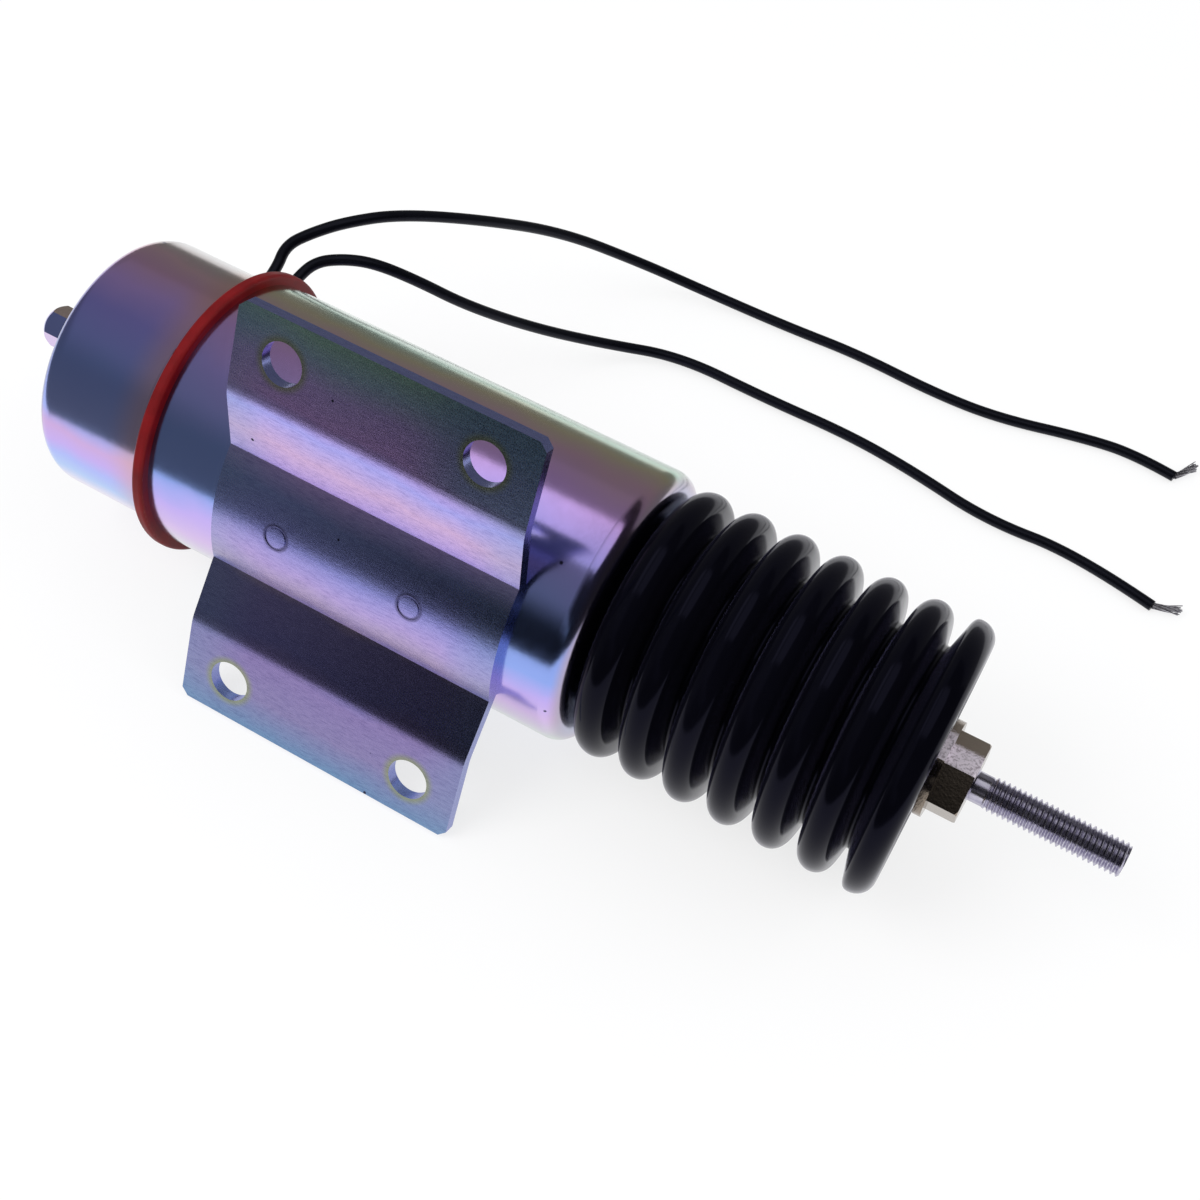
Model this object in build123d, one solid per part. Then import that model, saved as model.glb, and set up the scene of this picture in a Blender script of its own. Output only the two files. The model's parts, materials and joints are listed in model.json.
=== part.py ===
"""Pull-type throttle solenoid with a saddle bracket, a bellows boot and a threaded stud.

The model's own axes: X runs along the plunger towards the stud and starts at the mouth
of the rear cap, Z is the normal of the bracket's wings. At the end every piece is rolled
about X and lifted, so that the solenoid lies on a bench with its gasket ring and the edge
of its lower wing touching the bench, as a loose one does.
"""
import math
import os

from build123d import *

# Body can: drawn steel, open at the rear
body_radius = 34.5
body_length = 112.5
body_wall = 2.0
body_front_wall = 2.5
body_corner = 5.0

# Rear cap: drawn steel cup over the switch, with a flared lip at its mouth
cap_radius = 32.8
cap_depth = 33.0
cap_wall = 1.5
cap_corner = 5.0
lip_width = 1.3
lip_height = 1.6
lip_edge_height = 0.2
lip_notch_width = 1.6
lip_notch_floor = 0.1
lip_notch_angle = 45.0

# Gasket ring between cap and body
gasket_radius = 37.0
gasket_thickness = 3.0
gasket_edge = 0.9
gasket_spigot_wall = 1.7
gasket_spigot_depth = 2.0
gasket_spigot_play = 0.1

# Mounting bracket: stamped saddle, spot-welded to the body
bracket_middle = 61.75
bracket_length = 76.0
bracket_half_width = 53.6
sheet = 3.0
crease_half_width = 15.5
wing_rise = 1.6
wing_start = 30.9
wing_bend_radius = 9.0
wing_corner = 1.8
hole_radius = 5.15
hole_spacing = 50.8
hole_offset = 43.1
weld_spacing = 35.8
weld_shift = -2.7
weld_radius = 3.0
weld_groove_width = 0.5
weld_groove_depth = 0.2

# Magnet circuit
rear_plate_thickness = 8.0
front_plate_thickness = 4.8
plate_play = 0.1
pole_radius = 13.3
pole_shank_radius = 11.0
pole_length = 35.0
nose_depth = 8.0
nose_radius = 9.5
nose_root_radius = 12.2
guide_bore_radius = 13.5
guide_wall = 0.6
plunger_clearance = 0.08
plunger_length = 62.3
stroke = 25.4
seat_gap = 0.3

# Coil
bobbin_gap = 0.1
bobbin_tube_wall = 1.6
bobbin_flange = 2.5
bobbin_body_play = 0.7
pull_in_share = 0.593
wrap_thickness = 0.8
wrap_inset = 0.4
winding_play = 0.1
wave_washer_height = 1.7
wave_washer_sheet = 0.6
wave_washer_inset = 2.0

# Boot collar on the body's front wall
collar_spigot_radius = 16.9
collar_groove_radius = 20.0
collar_groove_width = 3.5
collar_flange_radius = 22.5
collar_flange_width = 2.0
collar_play = 0.1

# Bellows boot
boot_radius = 33.4
boot_wall = 1.6
ridge_radius = 4.6
valley_radius = 25.4
ridge_count = 7
ridge_pitch = 11.18
first_ridge_gap = 6.3
boot_bead_play = 0.15
boot_bead_bevel = 1.5
boot_end_dish = 3.0
boot_neck_play = 0.3

# Drive stud, return spring and the hex collar that holds the boot
screwed_radius = 5.0
screwed_depth = 20.0
shoulder_radius = 6.5
stud_radius = 4.0
stud_neck_radius = 3.55
stud_neck_length = 3.8
stud_thread_length = 31.7
stud_end_bevel = 0.4
seat_washer_radius = 21.5
seat_washer_thickness = 2.0
bore_play = 0.05
spring_mean_radius = 18.0
spring_wire_radius = 1.1
spring_turns = 8
hex_across_flats = 17.46
hex_length = 7.1
hex_turn = 15.0
hex_flange_radius = 11.6
hex_flange_width = 1.9
hex_spigot_radius = 7.9
hex_bevel = 0.5

# Cap stud and the long nut that holds the cap
cap_stud_radius = 3.0
cap_stud_screwed = 10.0
cap_stud_play = 0.1
board_stud_play = 2.0
cap_stud_nut_play = 1.0
cap_washer_radius = 8.0
cap_washer_thickness = 1.2
cap_nut_across_flats = 9.6
cap_nut_length = 20.8
cap_nut_bore_depth = 17.0
cap_nut_bevel = 1.4

# Hold-in switch under the cap
board_cap_play = 2.8
board_thickness = 2.0
board_standoff = 3.5
pillar_radius = 3.0
pillar_offset = 20.0
pin_offset = 7.5
pin_radius = 1.5
pin_clearance = 0.05
pin_board_play = 0.75
pin_head_radius = 2.6
pin_head_height = 1.5
pin_travel = 2.0
pin_tip_gap = 0.1
contact_size = 5.0
contact_height = 1.5
contact_offset = 7.0
bridge_half_length = 10.0
bridge_width = 5.0
bridge_thickness = 1.0
switch_frame_half_width = 14.0
switch_frame_width = 6.0
switch_frame_sheet = 1.5
switch_frame_depth = 12.0
pin_spring_radius = 2.0
pin_spring_wire_radius = 0.3
pin_spring_turns = 5

# Grommet and leads, on the far side of the cap
lead_angle = 146.0
grommet_place = -11.0
grommet_height = 2.0
grommet_length = 12.4
grommet_width = 8.4
grommet_neck_shrink = 2.4
grommet_inner_lip = 1.4
grommet_seat_overlap = 0.5
lead_radius = 1.5
lead_spacing = 6.2
lead_play = 0.05
terminal_size = 5.0
terminal_wall = 0.9
near_terminal_inset = 6.5
far_terminal_inset = 13.0
strand_radius = 0.24
strand_count = 7
strand_ring_radius = 0.52
strand_splay = 0.5
strand_gap = 0.25

# Places along X that follow from the sizes above
body_start = gasket_thickness
body_front = body_start + body_length
front_wall_inside = body_front - body_front_wall
body_bore = body_radius - body_wall
plate_radius = body_bore - plate_play
gasket_spigot_radius = cap_radius - cap_wall - gasket_spigot_play
gasket_inner_radius = gasket_spigot_radius - gasket_spigot_wall
grommet_face = cap_radius + grommet_height
board_radius = cap_radius - cap_wall - board_cap_play
near_terminal_radius = board_radius - near_terminal_inset
far_terminal_radius = board_radius - far_terminal_inset
bobbin_radius = body_bore - bobbin_body_play
bobbin_start = body_start + rear_plate_thickness
pole_face = bobbin_start + pole_length
pole_seat = pole_face - nose_depth
front_plate_start = front_wall_inside - front_plate_thickness
bobbin_end = front_plate_start - wave_washer_height
guide_radius = guide_bore_radius + guide_wall
collar_groove_end = body_front + collar_groove_width
collar_front = collar_groove_end + collar_flange_width
plunger_nose = pole_seat + seat_gap + stroke
plunger_front = plunger_nose + plunger_length
first_ridge = body_front + first_ridge_gap
ridges = [first_ridge + ridge_pitch * i for i in range(ridge_count)]
boot_end = ridges[-1] + boot_end_dish
hex_start = boot_end + boot_neck_play
hex_front = hex_start + hex_flange_width + hex_length
shoulder_end = boot_end - boot_wall - boot_neck_play - seat_washer_thickness
washer_front = shoulder_end + seat_washer_thickness
thread_start = hex_front + stud_neck_length
stud_end = thread_start + stud_thread_length
cap_nut_start = -cap_depth - cap_washer_thickness
cap_nut_end = cap_nut_start - cap_nut_length
board_front = body_start - board_standoff
board_rear = board_front - board_thickness
contact_rear = board_rear - contact_height
bridge_rear = contact_rear - bridge_thickness
pin_head_rear = bridge_rear - pin_head_height
pin_tip = pole_seat + seat_gap - pin_tip_gap + pin_travel
lead_places = (grommet_place - lead_spacing / 2, grommet_place + lead_spacing / 2)

# Bracket heights above the axis
saddle_radius = body_radius + sheet
crease_height = math.sqrt(saddle_radius**2 - crease_half_width**2)
wing_height = saddle_radius + wing_rise
wing_under = wing_height - sheet

# The roll at which ring and lower wing touch the bench together, and the shift to the middle
roll = math.degrees(
    math.atan2(wing_under, bracket_half_width)
    + math.asin(gasket_radius / math.hypot(bracket_half_width, wing_under))
)
wing_reach = (
    bracket_half_width * math.cos(math.radians(roll)) + wing_height * math.sin(math.radians(roll))
)
middle_x = (cap_nut_end + stud_end) / 2
middle_y = (gasket_radius - wing_reach) / 2
bench = Pos(-middle_x, -middle_y, gasket_radius) * Rot(roll, 0, 0)

# Routes of the two leads' centre lines on the bench, in millimetres, chosen to follow the
# photographed leads: straight out of the grommet, down to the bench and along it
lead_routes = {
    "lead_a": [
        (-104.95, 43.314, 44.763), (-104.95, 49.163, 46.101), (-105.7, 54.9, 50.0), (-101.1, 60.2, 52.6),
        (-95.3, 67.2, 54.0), (-87.0, 78.6, 52.6), (-74.8, 96.9, 44.0), (-61.8, 121.9, 28.0),
        (-44.4, 139.8, 12.0), (-24.0, 149.3, 2.6), (0.5, 150.7, 1.5), (22.8, 152.1, 1.5),
        (47.7, 150.4, 1.5), (67.4, 151.5, 1.5), (91.0, 158.1, 1.5), (105.8, 160.3, 1.5),
        (118.0, 158.5, 1.5),
    ],
    "lead_b": [
        (-98.75, 43.314, 44.763), (-98.75, 49.163, 46.101), (-96.8, 55.2, 48.6), (-90.6, 58.9, 50.0),
        (-83.9, 63.0, 49.0), (-75.3, 69.1, 43.0), (-64.8, 78.1, 32.2), (-52.8, 94.1, 17.6),
        (-38.9, 109.7, 6.6), (-20.0, 121.9, 1.8), (7.7, 121.2, 1.5), (33.7, 121.7, 1.5),
        (54.7, 119.3, 1.5), (79.3, 114.2, 1.5), (104.7, 116.6, 1.5), (128.1, 111.1, 1.5),
    ],
}
strand_ends = {"lead_a": (122.4, 165.4, 2.2), "lead_b": (135.6, 113.6, 1.8)}


def rod(start, end, radius, inner=0.0):
    """A round bar or tube along X."""
    low, length = min(start, end), abs(end - start)
    upright = Cylinder(radius, length, align=(Align.CENTER, Align.CENTER, Align.MIN))
    bar = Pos(low, 0, 0) * Rot(0, 90, 0) * upright
    if inner:
        bar -= rod(low - 1, low + length + 1, inner)
    return bar


def round_edge(solid, place, radius, size):
    """Round the circular edge of the given radius at the given place along X."""
    rims = [e for e in solid.edges().filter_by(GeomType.CIRCLE)
            if abs(e.radius - radius) < 1e-4 and abs(e.center().X - place) < 1e-4]
    return fillet(rims, size)


def bevel_edge(solid, place, radius, size):
    """Bevel the circular edge of the given radius at the given place along X."""
    rims = [e for e in solid.edges().filter_by(GeomType.CIRCLE)
            if abs(e.radius - radius) < 1e-4 and abs(e.center().X - place) < 1e-4]
    return chamfer(rims, size)


def cup(closed, mouth, radius, wall, end_wall, corner):
    """A drawn cup: closed at one end with a rounded corner, open at the other."""
    towards_mouth = 1 if mouth > closed else -1
    inside = closed + towards_mouth * end_wall
    outer = round_edge(rod(closed, mouth, radius), closed, radius, corner)
    hollow = rod(inside, mouth + towards_mouth, radius - wall)
    return outer - round_edge(hollow, inside, radius - wall, max(corner - wall, 0.5))


def off_axis(x, y, z, length, radius):
    """A round bar along X, beside the axis, starting at x."""
    return Pos(0, y, z) * rod(x, x + length, radius)


def block(x0, x1, y0, y1, z0, z1):
    """A box between two corners."""
    size = (x1 - x0, y1 - y0, z1 - z0)
    return Pos(x0, y0, z0) * Box(*size, align=(Align.MIN, Align.MIN, Align.MIN))


def radial(place, angle, start, length, sketch):
    """Extrude a sketch outwards from the axis; its own X runs along the solenoid."""
    turn = math.radians(angle)
    outwards = (0, math.sin(turn), math.cos(turn))
    origin = (place, start * outwards[1], start * outwards[2])
    return extrude(Plane(origin=origin, x_dir=(1, 0, 0), z_dir=outwards) * sketch, length)


def hex_bar(start, end, across_flats, turn=0.0):
    """A hexagonal bar along X."""
    section = Rot(0, 0, turn) * RegularPolygon(across_flats / math.sqrt(3), 6)
    return Pos(start, 0, 0) * Rot(0, 90, 0) * extrude(section, end - start)


def spun(edges):
    """Turn a closed profile, drawn as x and radius, about the axis."""
    return revolve(make_face(Wire(edges)), Axis.X)


def at(x, r):
    """A profile point at x and radius r."""
    return Vector(x, 0, r)


def coil_spring(start, end, mean_radius, wire_radius, turns):
    """A round-wire compression spring between two flat seats."""
    length = end - start - 2 * wire_radius - 2 * winding_play
    path = Helix(length / turns, length, mean_radius)
    section = Plane(origin=path @ 0, z_dir=path % 0) * Circle(wire_radius)
    wire = sweep(section, path=path, is_frenet=True)
    return Pos(start + wire_radius + winding_play, 0, 0) * Rot(0, 90, 0) * wire


def make_body_shell():
    shell = cup(body_front, body_start, body_radius, body_wall, body_front_wall, body_corner)
    return shell - rod(front_wall_inside - 1, body_front + 1, collar_spigot_radius + collar_play)


def make_rear_cap():
    cap = cup(-cap_depth, 0, cap_radius, cap_wall, cap_wall, cap_corner)
    cap += rod(-lip_width, 0, cap_radius + lip_height, cap_radius - cap_wall)
    cap = round_edge(cap, -lip_width, cap_radius, lip_height - lip_edge_height)
    cap -= rod(-cap_depth - 1, 0, cap_stud_radius + cap_stud_play)
    notch = Rectangle(2 * lip_width, lip_notch_width)
    cap -= radial(0, lip_notch_angle, cap_radius + lip_notch_floor, lip_height + 1, notch)
    return cap - radial(grommet_place, lead_angle, 0, 2 * cap_radius, grommet_outline(grommet_neck_shrink))


def grommet_outline(shrink):
    return SlotOverall(grommet_length - shrink, grommet_width - shrink)


def make_gasket():
    ring = rod(0, gasket_thickness, gasket_radius, gasket_inner_radius)
    ring = round_edge(ring, 0, gasket_radius, gasket_edge)
    ring = round_edge(ring, gasket_thickness, gasket_radius, gasket_edge)
    return ring + rod(-gasket_spigot_depth, 0, gasket_spigot_radius, gasket_inner_radius)


def bracket_half(height_wing, height_crease, bend, crease):
    """Half of one face of the sheet, from the wing's edge to the crease."""
    return [(0, bracket_half_width, height_wing), (0, bend, height_wing), (0, crease, height_crease)]


def bracket_inner_points():
    """Where the sheet's inner face bends and creases, one sheet thickness below the outer one."""
    run, rise = wing_start - crease_half_width, wing_height - crease_height
    slope = math.atan2(rise, run)
    bend = wing_start + sheet * math.tan(slope / 2)
    low_y, low_z = crease_half_width + sheet * math.sin(slope), crease_height - sheet * math.cos(slope)
    along = low_y * math.cos(slope) + low_z * math.sin(slope)
    back = along - math.sqrt(along**2 - (low_y**2 + low_z**2 - body_radius**2))
    return bend, low_y - back * math.cos(slope), low_z - back * math.sin(slope)


def mirrored(points):
    return [(x, -y, z) for x, y, z in reversed(points)]


def make_bracket():
    bend, inner_crease, inner_height = bracket_inner_points()
    outer = bracket_half(wing_height, crease_height, wing_start, crease_half_width)
    inner = bracket_half(wing_under, inner_height, bend, inner_crease)
    section = Wire([
        *Polyline(*outer).edges(),
        ThreePointArc(outer[-1], (0, 0, saddle_radius), mirrored(outer)[0]).edge(),
        *Polyline(*mirrored(outer)).edges(),
        Line(mirrored(outer)[-1], mirrored(inner)[-1]).edge(),
        *Polyline(*inner).edges(),
        ThreePointArc(inner[-1], (0, 0, body_radius), mirrored(inner)[0]).edge(),
        *Polyline(*mirrored(inner)).edges(),
        Line(outer[0], inner[0]).edge(),
    ])
    start = bracket_middle - bracket_length / 2
    sheet_metal = Pos(start, 0, 0) * extrude(make_face(section), bracket_length, dir=(1, 0, 0))
    long_edges = sheet_metal.edges().filter_by(Axis.X)
    tops = [e for e in long_edges if abs(abs(e.center().Y) - wing_start) < 1e-3]
    sheet_metal = fillet(tops, wing_bend_radius + sheet)
    long_edges = sheet_metal.edges().filter_by(Axis.X)
    unders = [e for e in long_edges if abs(abs(e.center().Y) - bend) < 1e-3
              and e.center().Z < wing_height - sheet / 2]
    sheet_metal = fillet(unders, wing_bend_radius)
    corners = [e for e in sheet_metal.edges().filter_by(Axis.Z)
               if abs(abs(e.center().Y) - bracket_half_width) < 1e-3]
    sheet_metal = chamfer(corners, wing_corner)
    for x in (-hole_spacing / 2, hole_spacing / 2):
        for y in (-hole_offset, hole_offset):
            sheet_metal -= Pos(bracket_middle + x, y, wing_height) * Cylinder(hole_radius, 4 * sheet)
    groove = Circle(weld_radius) - Circle(weld_radius - weld_groove_width)
    for side in (-0.5, 0.5):
        place = bracket_middle + weld_shift + side * weld_spacing
        sheet_metal -= radial(place, 0, saddle_radius - weld_groove_depth, sheet, groove)
    return sheet_metal


def make_rear_plate():
    return rod(body_start, bobbin_start, plate_radius, pole_shank_radius)


def nose_taper(start, end, big, small):
    """The tapered end of the plunger, or the seat for it in the pole."""
    return spun(Polyline((start, 0, 0), (start, 0, small), (end, 0, big), (end, 0, 0), close=True).edges())


def make_fixed_pole():
    pole = rod(body_start, bobbin_start, pole_shank_radius) + rod(bobbin_start, pole_face, pole_radius)
    pole -= nose_taper(pole_seat, pole_face, nose_root_radius + seat_gap, nose_radius + seat_gap)
    pole -= rod(body_start - 1, body_start + cap_stud_screwed, cap_stud_radius)
    return pole - off_axis(body_start - 1, 0, pin_offset, pole_length * 2, pin_radius + pin_clearance)


def make_guide_tube():
    return rod(bobbin_start, collar_front, guide_radius, guide_bore_radius)


def make_bobbin():
    bore = guide_radius + bobbin_gap
    spool = rod(bobbin_start, bobbin_end, bore + bobbin_tube_wall, bore)
    for start in (bobbin_start, bobbin_end - bobbin_flange):
        spool += rod(start, start + bobbin_flange, bobbin_radius, bore)
    return spool


def winding(inner, outer):
    """The space that a winding's turns fill between the bobbin's flanges."""
    play = bobbin_flange + winding_play
    return rod(bobbin_start + play, bobbin_end - play, outer, inner)


def make_wave_washer():
    """A coned spring washer between the bobbin and the front plate."""
    low, high = guide_radius + wave_washer_inset, plate_radius - wave_washer_inset
    top = front_plate_start - wave_washer_sheet
    return spun(Polyline((bobbin_end, 0, low), (bobbin_end + wave_washer_sheet, 0, low),
                         (front_plate_start, 0, high), (top, 0, high), close=True).edges())


def make_front_plate():
    plate = rod(front_plate_start, front_wall_inside, plate_radius)
    plate = round_edge(plate, front_wall_inside, plate_radius, body_corner - body_wall + plate_play)
    return plate - rod(front_plate_start - 1, front_wall_inside + 1, guide_radius + plate_play)


def make_boot_collar():
    bore = guide_radius + plate_play
    collar = rod(front_wall_inside, body_front, collar_spigot_radius, bore)
    collar += rod(body_front, collar_groove_end, collar_groove_radius, bore)
    return collar + rod(collar_groove_end, collar_front, collar_flange_radius, bore)


def boot_face(depth):
    """One face of the boot's wall as a chain of edges; depth is measured in from the outside."""
    ridge = ridge_radius - depth
    ridge_level = boot_radius - ridge_radius
    edges = []
    for i, x in enumerate(ridges):
        if i:
            half_gap = (x - ridges[i - 1]) / 2
            valley = half_gap - ridge_radius + depth
            middle, level = x - half_gap, valley_radius - depth + valley
            edges.append(Line(at(x - half_gap - valley, ridge_level), at(middle - valley, level)))
            edges.append(ThreePointArc(at(middle - valley, level), at(middle, level - valley),
                                       at(middle + valley, level)))
            edges.append(Line(at(middle + valley, level), at(x - ridge, ridge_level)))
        last = i == ridge_count - 1
        if last:
            dish = boot_end - depth - x
            foot = ridge_level - math.sqrt(ridge**2 - dish**2)
            far = at(x + ridge / math.sqrt(2), ridge_level + ridge / math.sqrt(2))
            edges.append(ThreePointArc(at(x - ridge, ridge_level), at(x, boot_radius - depth), far))
            edges.append(ThreePointArc(far, at(x + ridge, ridge_level), at(x + dish, foot)))
        else:
            edges.append(ThreePointArc(at(x - ridge, ridge_level), at(x, boot_radius - depth),
                                       at(x + ridge, ridge_level)))
    return [e.edge() for e in edges]


def make_boot():
    ridge_level = boot_radius - ridge_radius
    bead = collar_groove_radius + boot_bead_play
    rear = body_front + boot_bead_play
    side = ridges[0] - ridge_radius
    inner_side = side + boot_wall
    neck = hex_spigot_radius + boot_neck_play
    outside, inside = boot_face(0), boot_face(boot_wall)
    rear_edges = Polyline(at(inner_side, ridge_level), at(inner_side, bead), at(rear, bead),
                          at(rear, valley_radius - boot_bead_bevel), at(side, valley_radius),
                          at(side, ridge_level)).edges()
    front_edges = Polyline(outside[-1] @ 1, at(boot_end, neck), at(boot_end - boot_wall, neck),
                           inside[-1] @ 1).edges()
    return spun([*rear_edges, *outside, *front_edges, *inside])


def make_plunger():
    radius = guide_bore_radius - plunger_clearance
    body = nose_taper(plunger_nose, plunger_nose + nose_depth, nose_root_radius, nose_radius)
    body += rod(plunger_nose + nose_depth, plunger_front, radius)
    return body - rod(plunger_front - screwed_depth, plunger_front + 1, screwed_radius)


def make_drive_stud():
    stud = rod(plunger_front - screwed_depth, plunger_front, screwed_radius)
    stud += rod(plunger_front, shoulder_end, shoulder_radius)
    stud += rod(shoulder_end, hex_front, stud_radius)
    stud += rod(hex_front, thread_start, stud_neck_radius)
    return stud + bevel_edge(rod(thread_start, stud_end, stud_radius), stud_end, stud_radius, stud_end_bevel)


def make_spring_seat():
    return rod(shoulder_end, washer_front, seat_washer_radius, stud_radius + bore_play)


def make_hex_collar():
    flange_end = hex_start + hex_flange_width
    corner_radius = hex_across_flats / math.sqrt(3)
    bevelled = bevel_edge(rod(flange_end - hex_length, hex_front, corner_radius), hex_front,
                          corner_radius, hex_bevel)
    collar = hex_bar(flange_end, hex_front, hex_across_flats, hex_turn) & bevelled
    collar += rod(hex_start, flange_end, hex_flange_radius)
    collar += rod(washer_front, hex_start, hex_spigot_radius)
    return collar - rod(washer_front - 1, hex_front + 1, stud_radius + bore_play)


def make_cap_stud():
    rear = cap_nut_start - cap_nut_bore_depth + cap_stud_nut_play
    return rod(rear, body_start + cap_stud_screwed, cap_stud_radius)


def make_cap_washer():
    return rod(cap_nut_start, -cap_depth, cap_washer_radius, cap_stud_radius + bore_play)


def make_cap_nut():
    corner_radius = cap_nut_across_flats / math.sqrt(3)
    envelope = rod(cap_nut_end, cap_nut_start, corner_radius)
    envelope = bevel_edge(envelope, cap_nut_end, corner_radius, cap_nut_bevel)
    nut = hex_bar(cap_nut_end, cap_nut_start, cap_nut_across_flats) & envelope
    return nut - rod(cap_nut_start + 1, cap_nut_start - cap_nut_bore_depth, cap_stud_radius)


def make_switch_board():
    board = rod(board_rear, board_front, board_radius, cap_stud_radius + board_stud_play)
    return board - off_axis(board_rear - 1, 0, pin_offset, board_thickness + 2, pin_radius + pin_board_play)


def make_board_pillars():
    return [off_axis(board_front, side * pillar_offset, 0, board_standoff, pillar_radius)
            for side in (-1, 1)]


def make_fixed_contacts():
    low, high = contact_offset - contact_size / 2, contact_offset + contact_size / 2
    level = pin_offset - contact_size / 2
    return [block(contact_rear, board_rear, min(side * low, side * high), max(side * low, side * high),
                  level, level + contact_size) for side in (-1, 1)]


def make_contact_bridge():
    low, high = pin_offset - bridge_width / 2, pin_offset + bridge_width / 2
    bar = block(bridge_rear, contact_rear, -bridge_half_length, bridge_half_length, low, high)
    return bar - off_axis(bridge_rear - 1, 0, pin_offset, 2 * bridge_thickness + 1, pin_radius)


def make_push_pin():
    pin = off_axis(bridge_rear, 0, pin_offset, pin_tip - bridge_rear, pin_radius)
    return pin + off_axis(pin_head_rear, 0, pin_offset, pin_head_height, pin_head_radius)


def make_switch_frame():
    low, high = pin_offset - switch_frame_width / 2, pin_offset + switch_frame_width / 2
    back = board_rear - switch_frame_depth
    reach = switch_frame_half_width
    frame = block(back, board_rear, -reach, reach, low, high)
    return frame - block(back + switch_frame_sheet, board_rear + 1, -reach + switch_frame_sheet,
                         reach - switch_frame_sheet, low - 1, high + 1)


def make_pin_spring():
    seat = board_rear - switch_frame_depth + switch_frame_sheet
    spring = coil_spring(seat, pin_head_rear, pin_spring_radius, pin_spring_wire_radius, pin_spring_turns)
    return Pos(0, 0, pin_offset) * spring


def terminal(place, radius):
    """A brass block on the switch board with a hole that takes the end of a lead."""
    half = terminal_size / 2
    rear = place - lead_radius - terminal_wall
    sketch = Pos((board_rear + rear) / 2 - place, 0) * Rectangle(board_rear - rear, terminal_size)
    body = radial(place, lead_angle, radius - half, terminal_size, sketch)
    return body - radial(place, lead_angle, radius, terminal_size, Circle(lead_radius + lead_play))


def make_terminals():
    return [terminal(lead_places[0], far_terminal_radius), terminal(lead_places[1], near_terminal_radius)]


def make_inner_leads():
    """The stretches of the two leads between their terminals and the grommet's outer face."""
    starts = (far_terminal_radius, near_terminal_radius)
    return [radial(place, lead_angle, start, grommet_face - start, Circle(lead_radius))
            for place, start in zip(lead_places, starts)]


def make_grommet():
    inner_radius = cap_radius - cap_wall
    whole = radial(grommet_place, lead_angle, 0, grommet_face, grommet_outline(0))
    outer = whole - rod(-cap_depth, 0, cap_radius)
    neck = radial(grommet_place, lead_angle, 0, cap_radius + grommet_seat_overlap,
                  grommet_outline(grommet_neck_shrink))
    neck -= rod(-cap_depth, 0, inner_radius - grommet_inner_lip)
    lip = whole & rod(-cap_depth, 0, inner_radius, inner_radius - grommet_inner_lip)
    grommet = outer + neck + lip
    for place in lead_places:
        grommet -= radial(place, lead_angle, 0, grommet_face + 1, Circle(lead_radius + lead_play))
    return grommet


def lead_tube(name):
    """A lead as straight runs joined by the largest tangent arcs that the runs allow."""
    points = [Vector(*p) for p in lead_routes[name]]
    runs = [b - a for a, b in zip(points, points[1:])]
    radii = []
    for before, after in zip(runs, runs[1:]):
        turn = math.radians(before.get_angle(after))
        radii.append(0.45 * min(before.length, after.length) / math.tan(turn / 2))
    path = FilletPolyline(*points, radius=radii)
    tube = sweep(Plane(origin=points[0], z_dir=runs[0]) * Circle(lead_radius), path=path)
    expected = math.pi * lead_radius**2 * path.length
    print(f"{name}: length {path.length:.1f}, radii {[round(r, 1) for r in radii]}, "
          f"volume ratio {tube.volume / expected:.4f}")
    return tube


def strand_tip(name):
    """The bare end of a lead: fine wires that splay a little."""
    before, last = (Vector(*p) for p in lead_routes[name][-2:])
    end = Vector(*strand_ends[name])
    base = Plane(origin=last + (last - before).normalized() * strand_gap, z_dir=last - before)
    strands = []
    for i in range(strand_count):
        turn = 2 * math.pi * i / (strand_count - 1)
        away = base.x_dir * math.cos(turn) + base.y_dir * math.sin(turn)
        ring = 0 if i == strand_count - 1 else strand_ring_radius
        foot = base.origin + away * ring
        tip = end + away * (ring and ring + strand_splay)
        along = tip - foot
        strands.append(extrude(Plane(origin=foot, z_dir=along) * Circle(strand_radius), along.length))
    return strands


def solids_of(shape):
    """The separate solids of a shape or of a list of shapes."""
    shapes = shape if isinstance(shape, list) else [shape]
    return [solid for one in shapes for solid in one.solids()]


# The coil's layers: the two windings share the depth between the bobbin's tube and the wrap
wrap_outside = bobbin_radius - wrap_inset
hold_in_outside = wrap_outside - wrap_thickness - winding_play
pull_in_inside = guide_radius + bobbin_gap + bobbin_tube_wall + winding_play
copper_depth = hold_in_outside - pull_in_inside - winding_play
pull_in_outside = pull_in_inside + pull_in_share * copper_depth
hold_in_inside = pull_in_outside + winding_play

pieces = {
    "body_shell": make_body_shell(),
    "mounting_bracket": make_bracket(),
    "rear_cap": make_rear_cap(),
    "cap_gasket": make_gasket(),
    "cap_stud": make_cap_stud(),
    "cap_washer": make_cap_washer(),
    "cap_nut": make_cap_nut(),
    "rear_flux_plate": make_rear_plate(),
    "fixed_pole": make_fixed_pole(),
    "guide_tube": make_guide_tube(),
    "bobbin": make_bobbin(),
    "pull_in_winding": winding(pull_in_inside, pull_in_outside),
    "hold_in_winding": winding(hold_in_inside, hold_in_outside),
    "coil_wrap": winding(wrap_outside - wrap_thickness, wrap_outside),
    "wave_washer": make_wave_washer(),
    "front_flux_plate": make_front_plate(),
    "boot_collar": make_boot_collar(),
    "bellows_boot": make_boot(),
    "plunger": make_plunger(),
    "drive_stud": make_drive_stud(),
    "return_spring": coil_spring(collar_front, shoulder_end, spring_mean_radius, spring_wire_radius,
                                 spring_turns),
    "spring_seat": make_spring_seat(),
    "hex_collar": make_hex_collar(),
    "switch_board": make_switch_board(),
    "board_pillars": make_board_pillars(),
    "fixed_contacts": make_fixed_contacts(),
    "contact_bridge": make_contact_bridge(),
    "push_pin": make_push_pin(),
    "pin_spring": make_pin_spring(),
    "switch_frame": make_switch_frame(),
    "lead_terminals": make_terminals(),
    "inner_leads": make_inner_leads(),
    "lead_grommet": make_grommet(),
}

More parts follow.
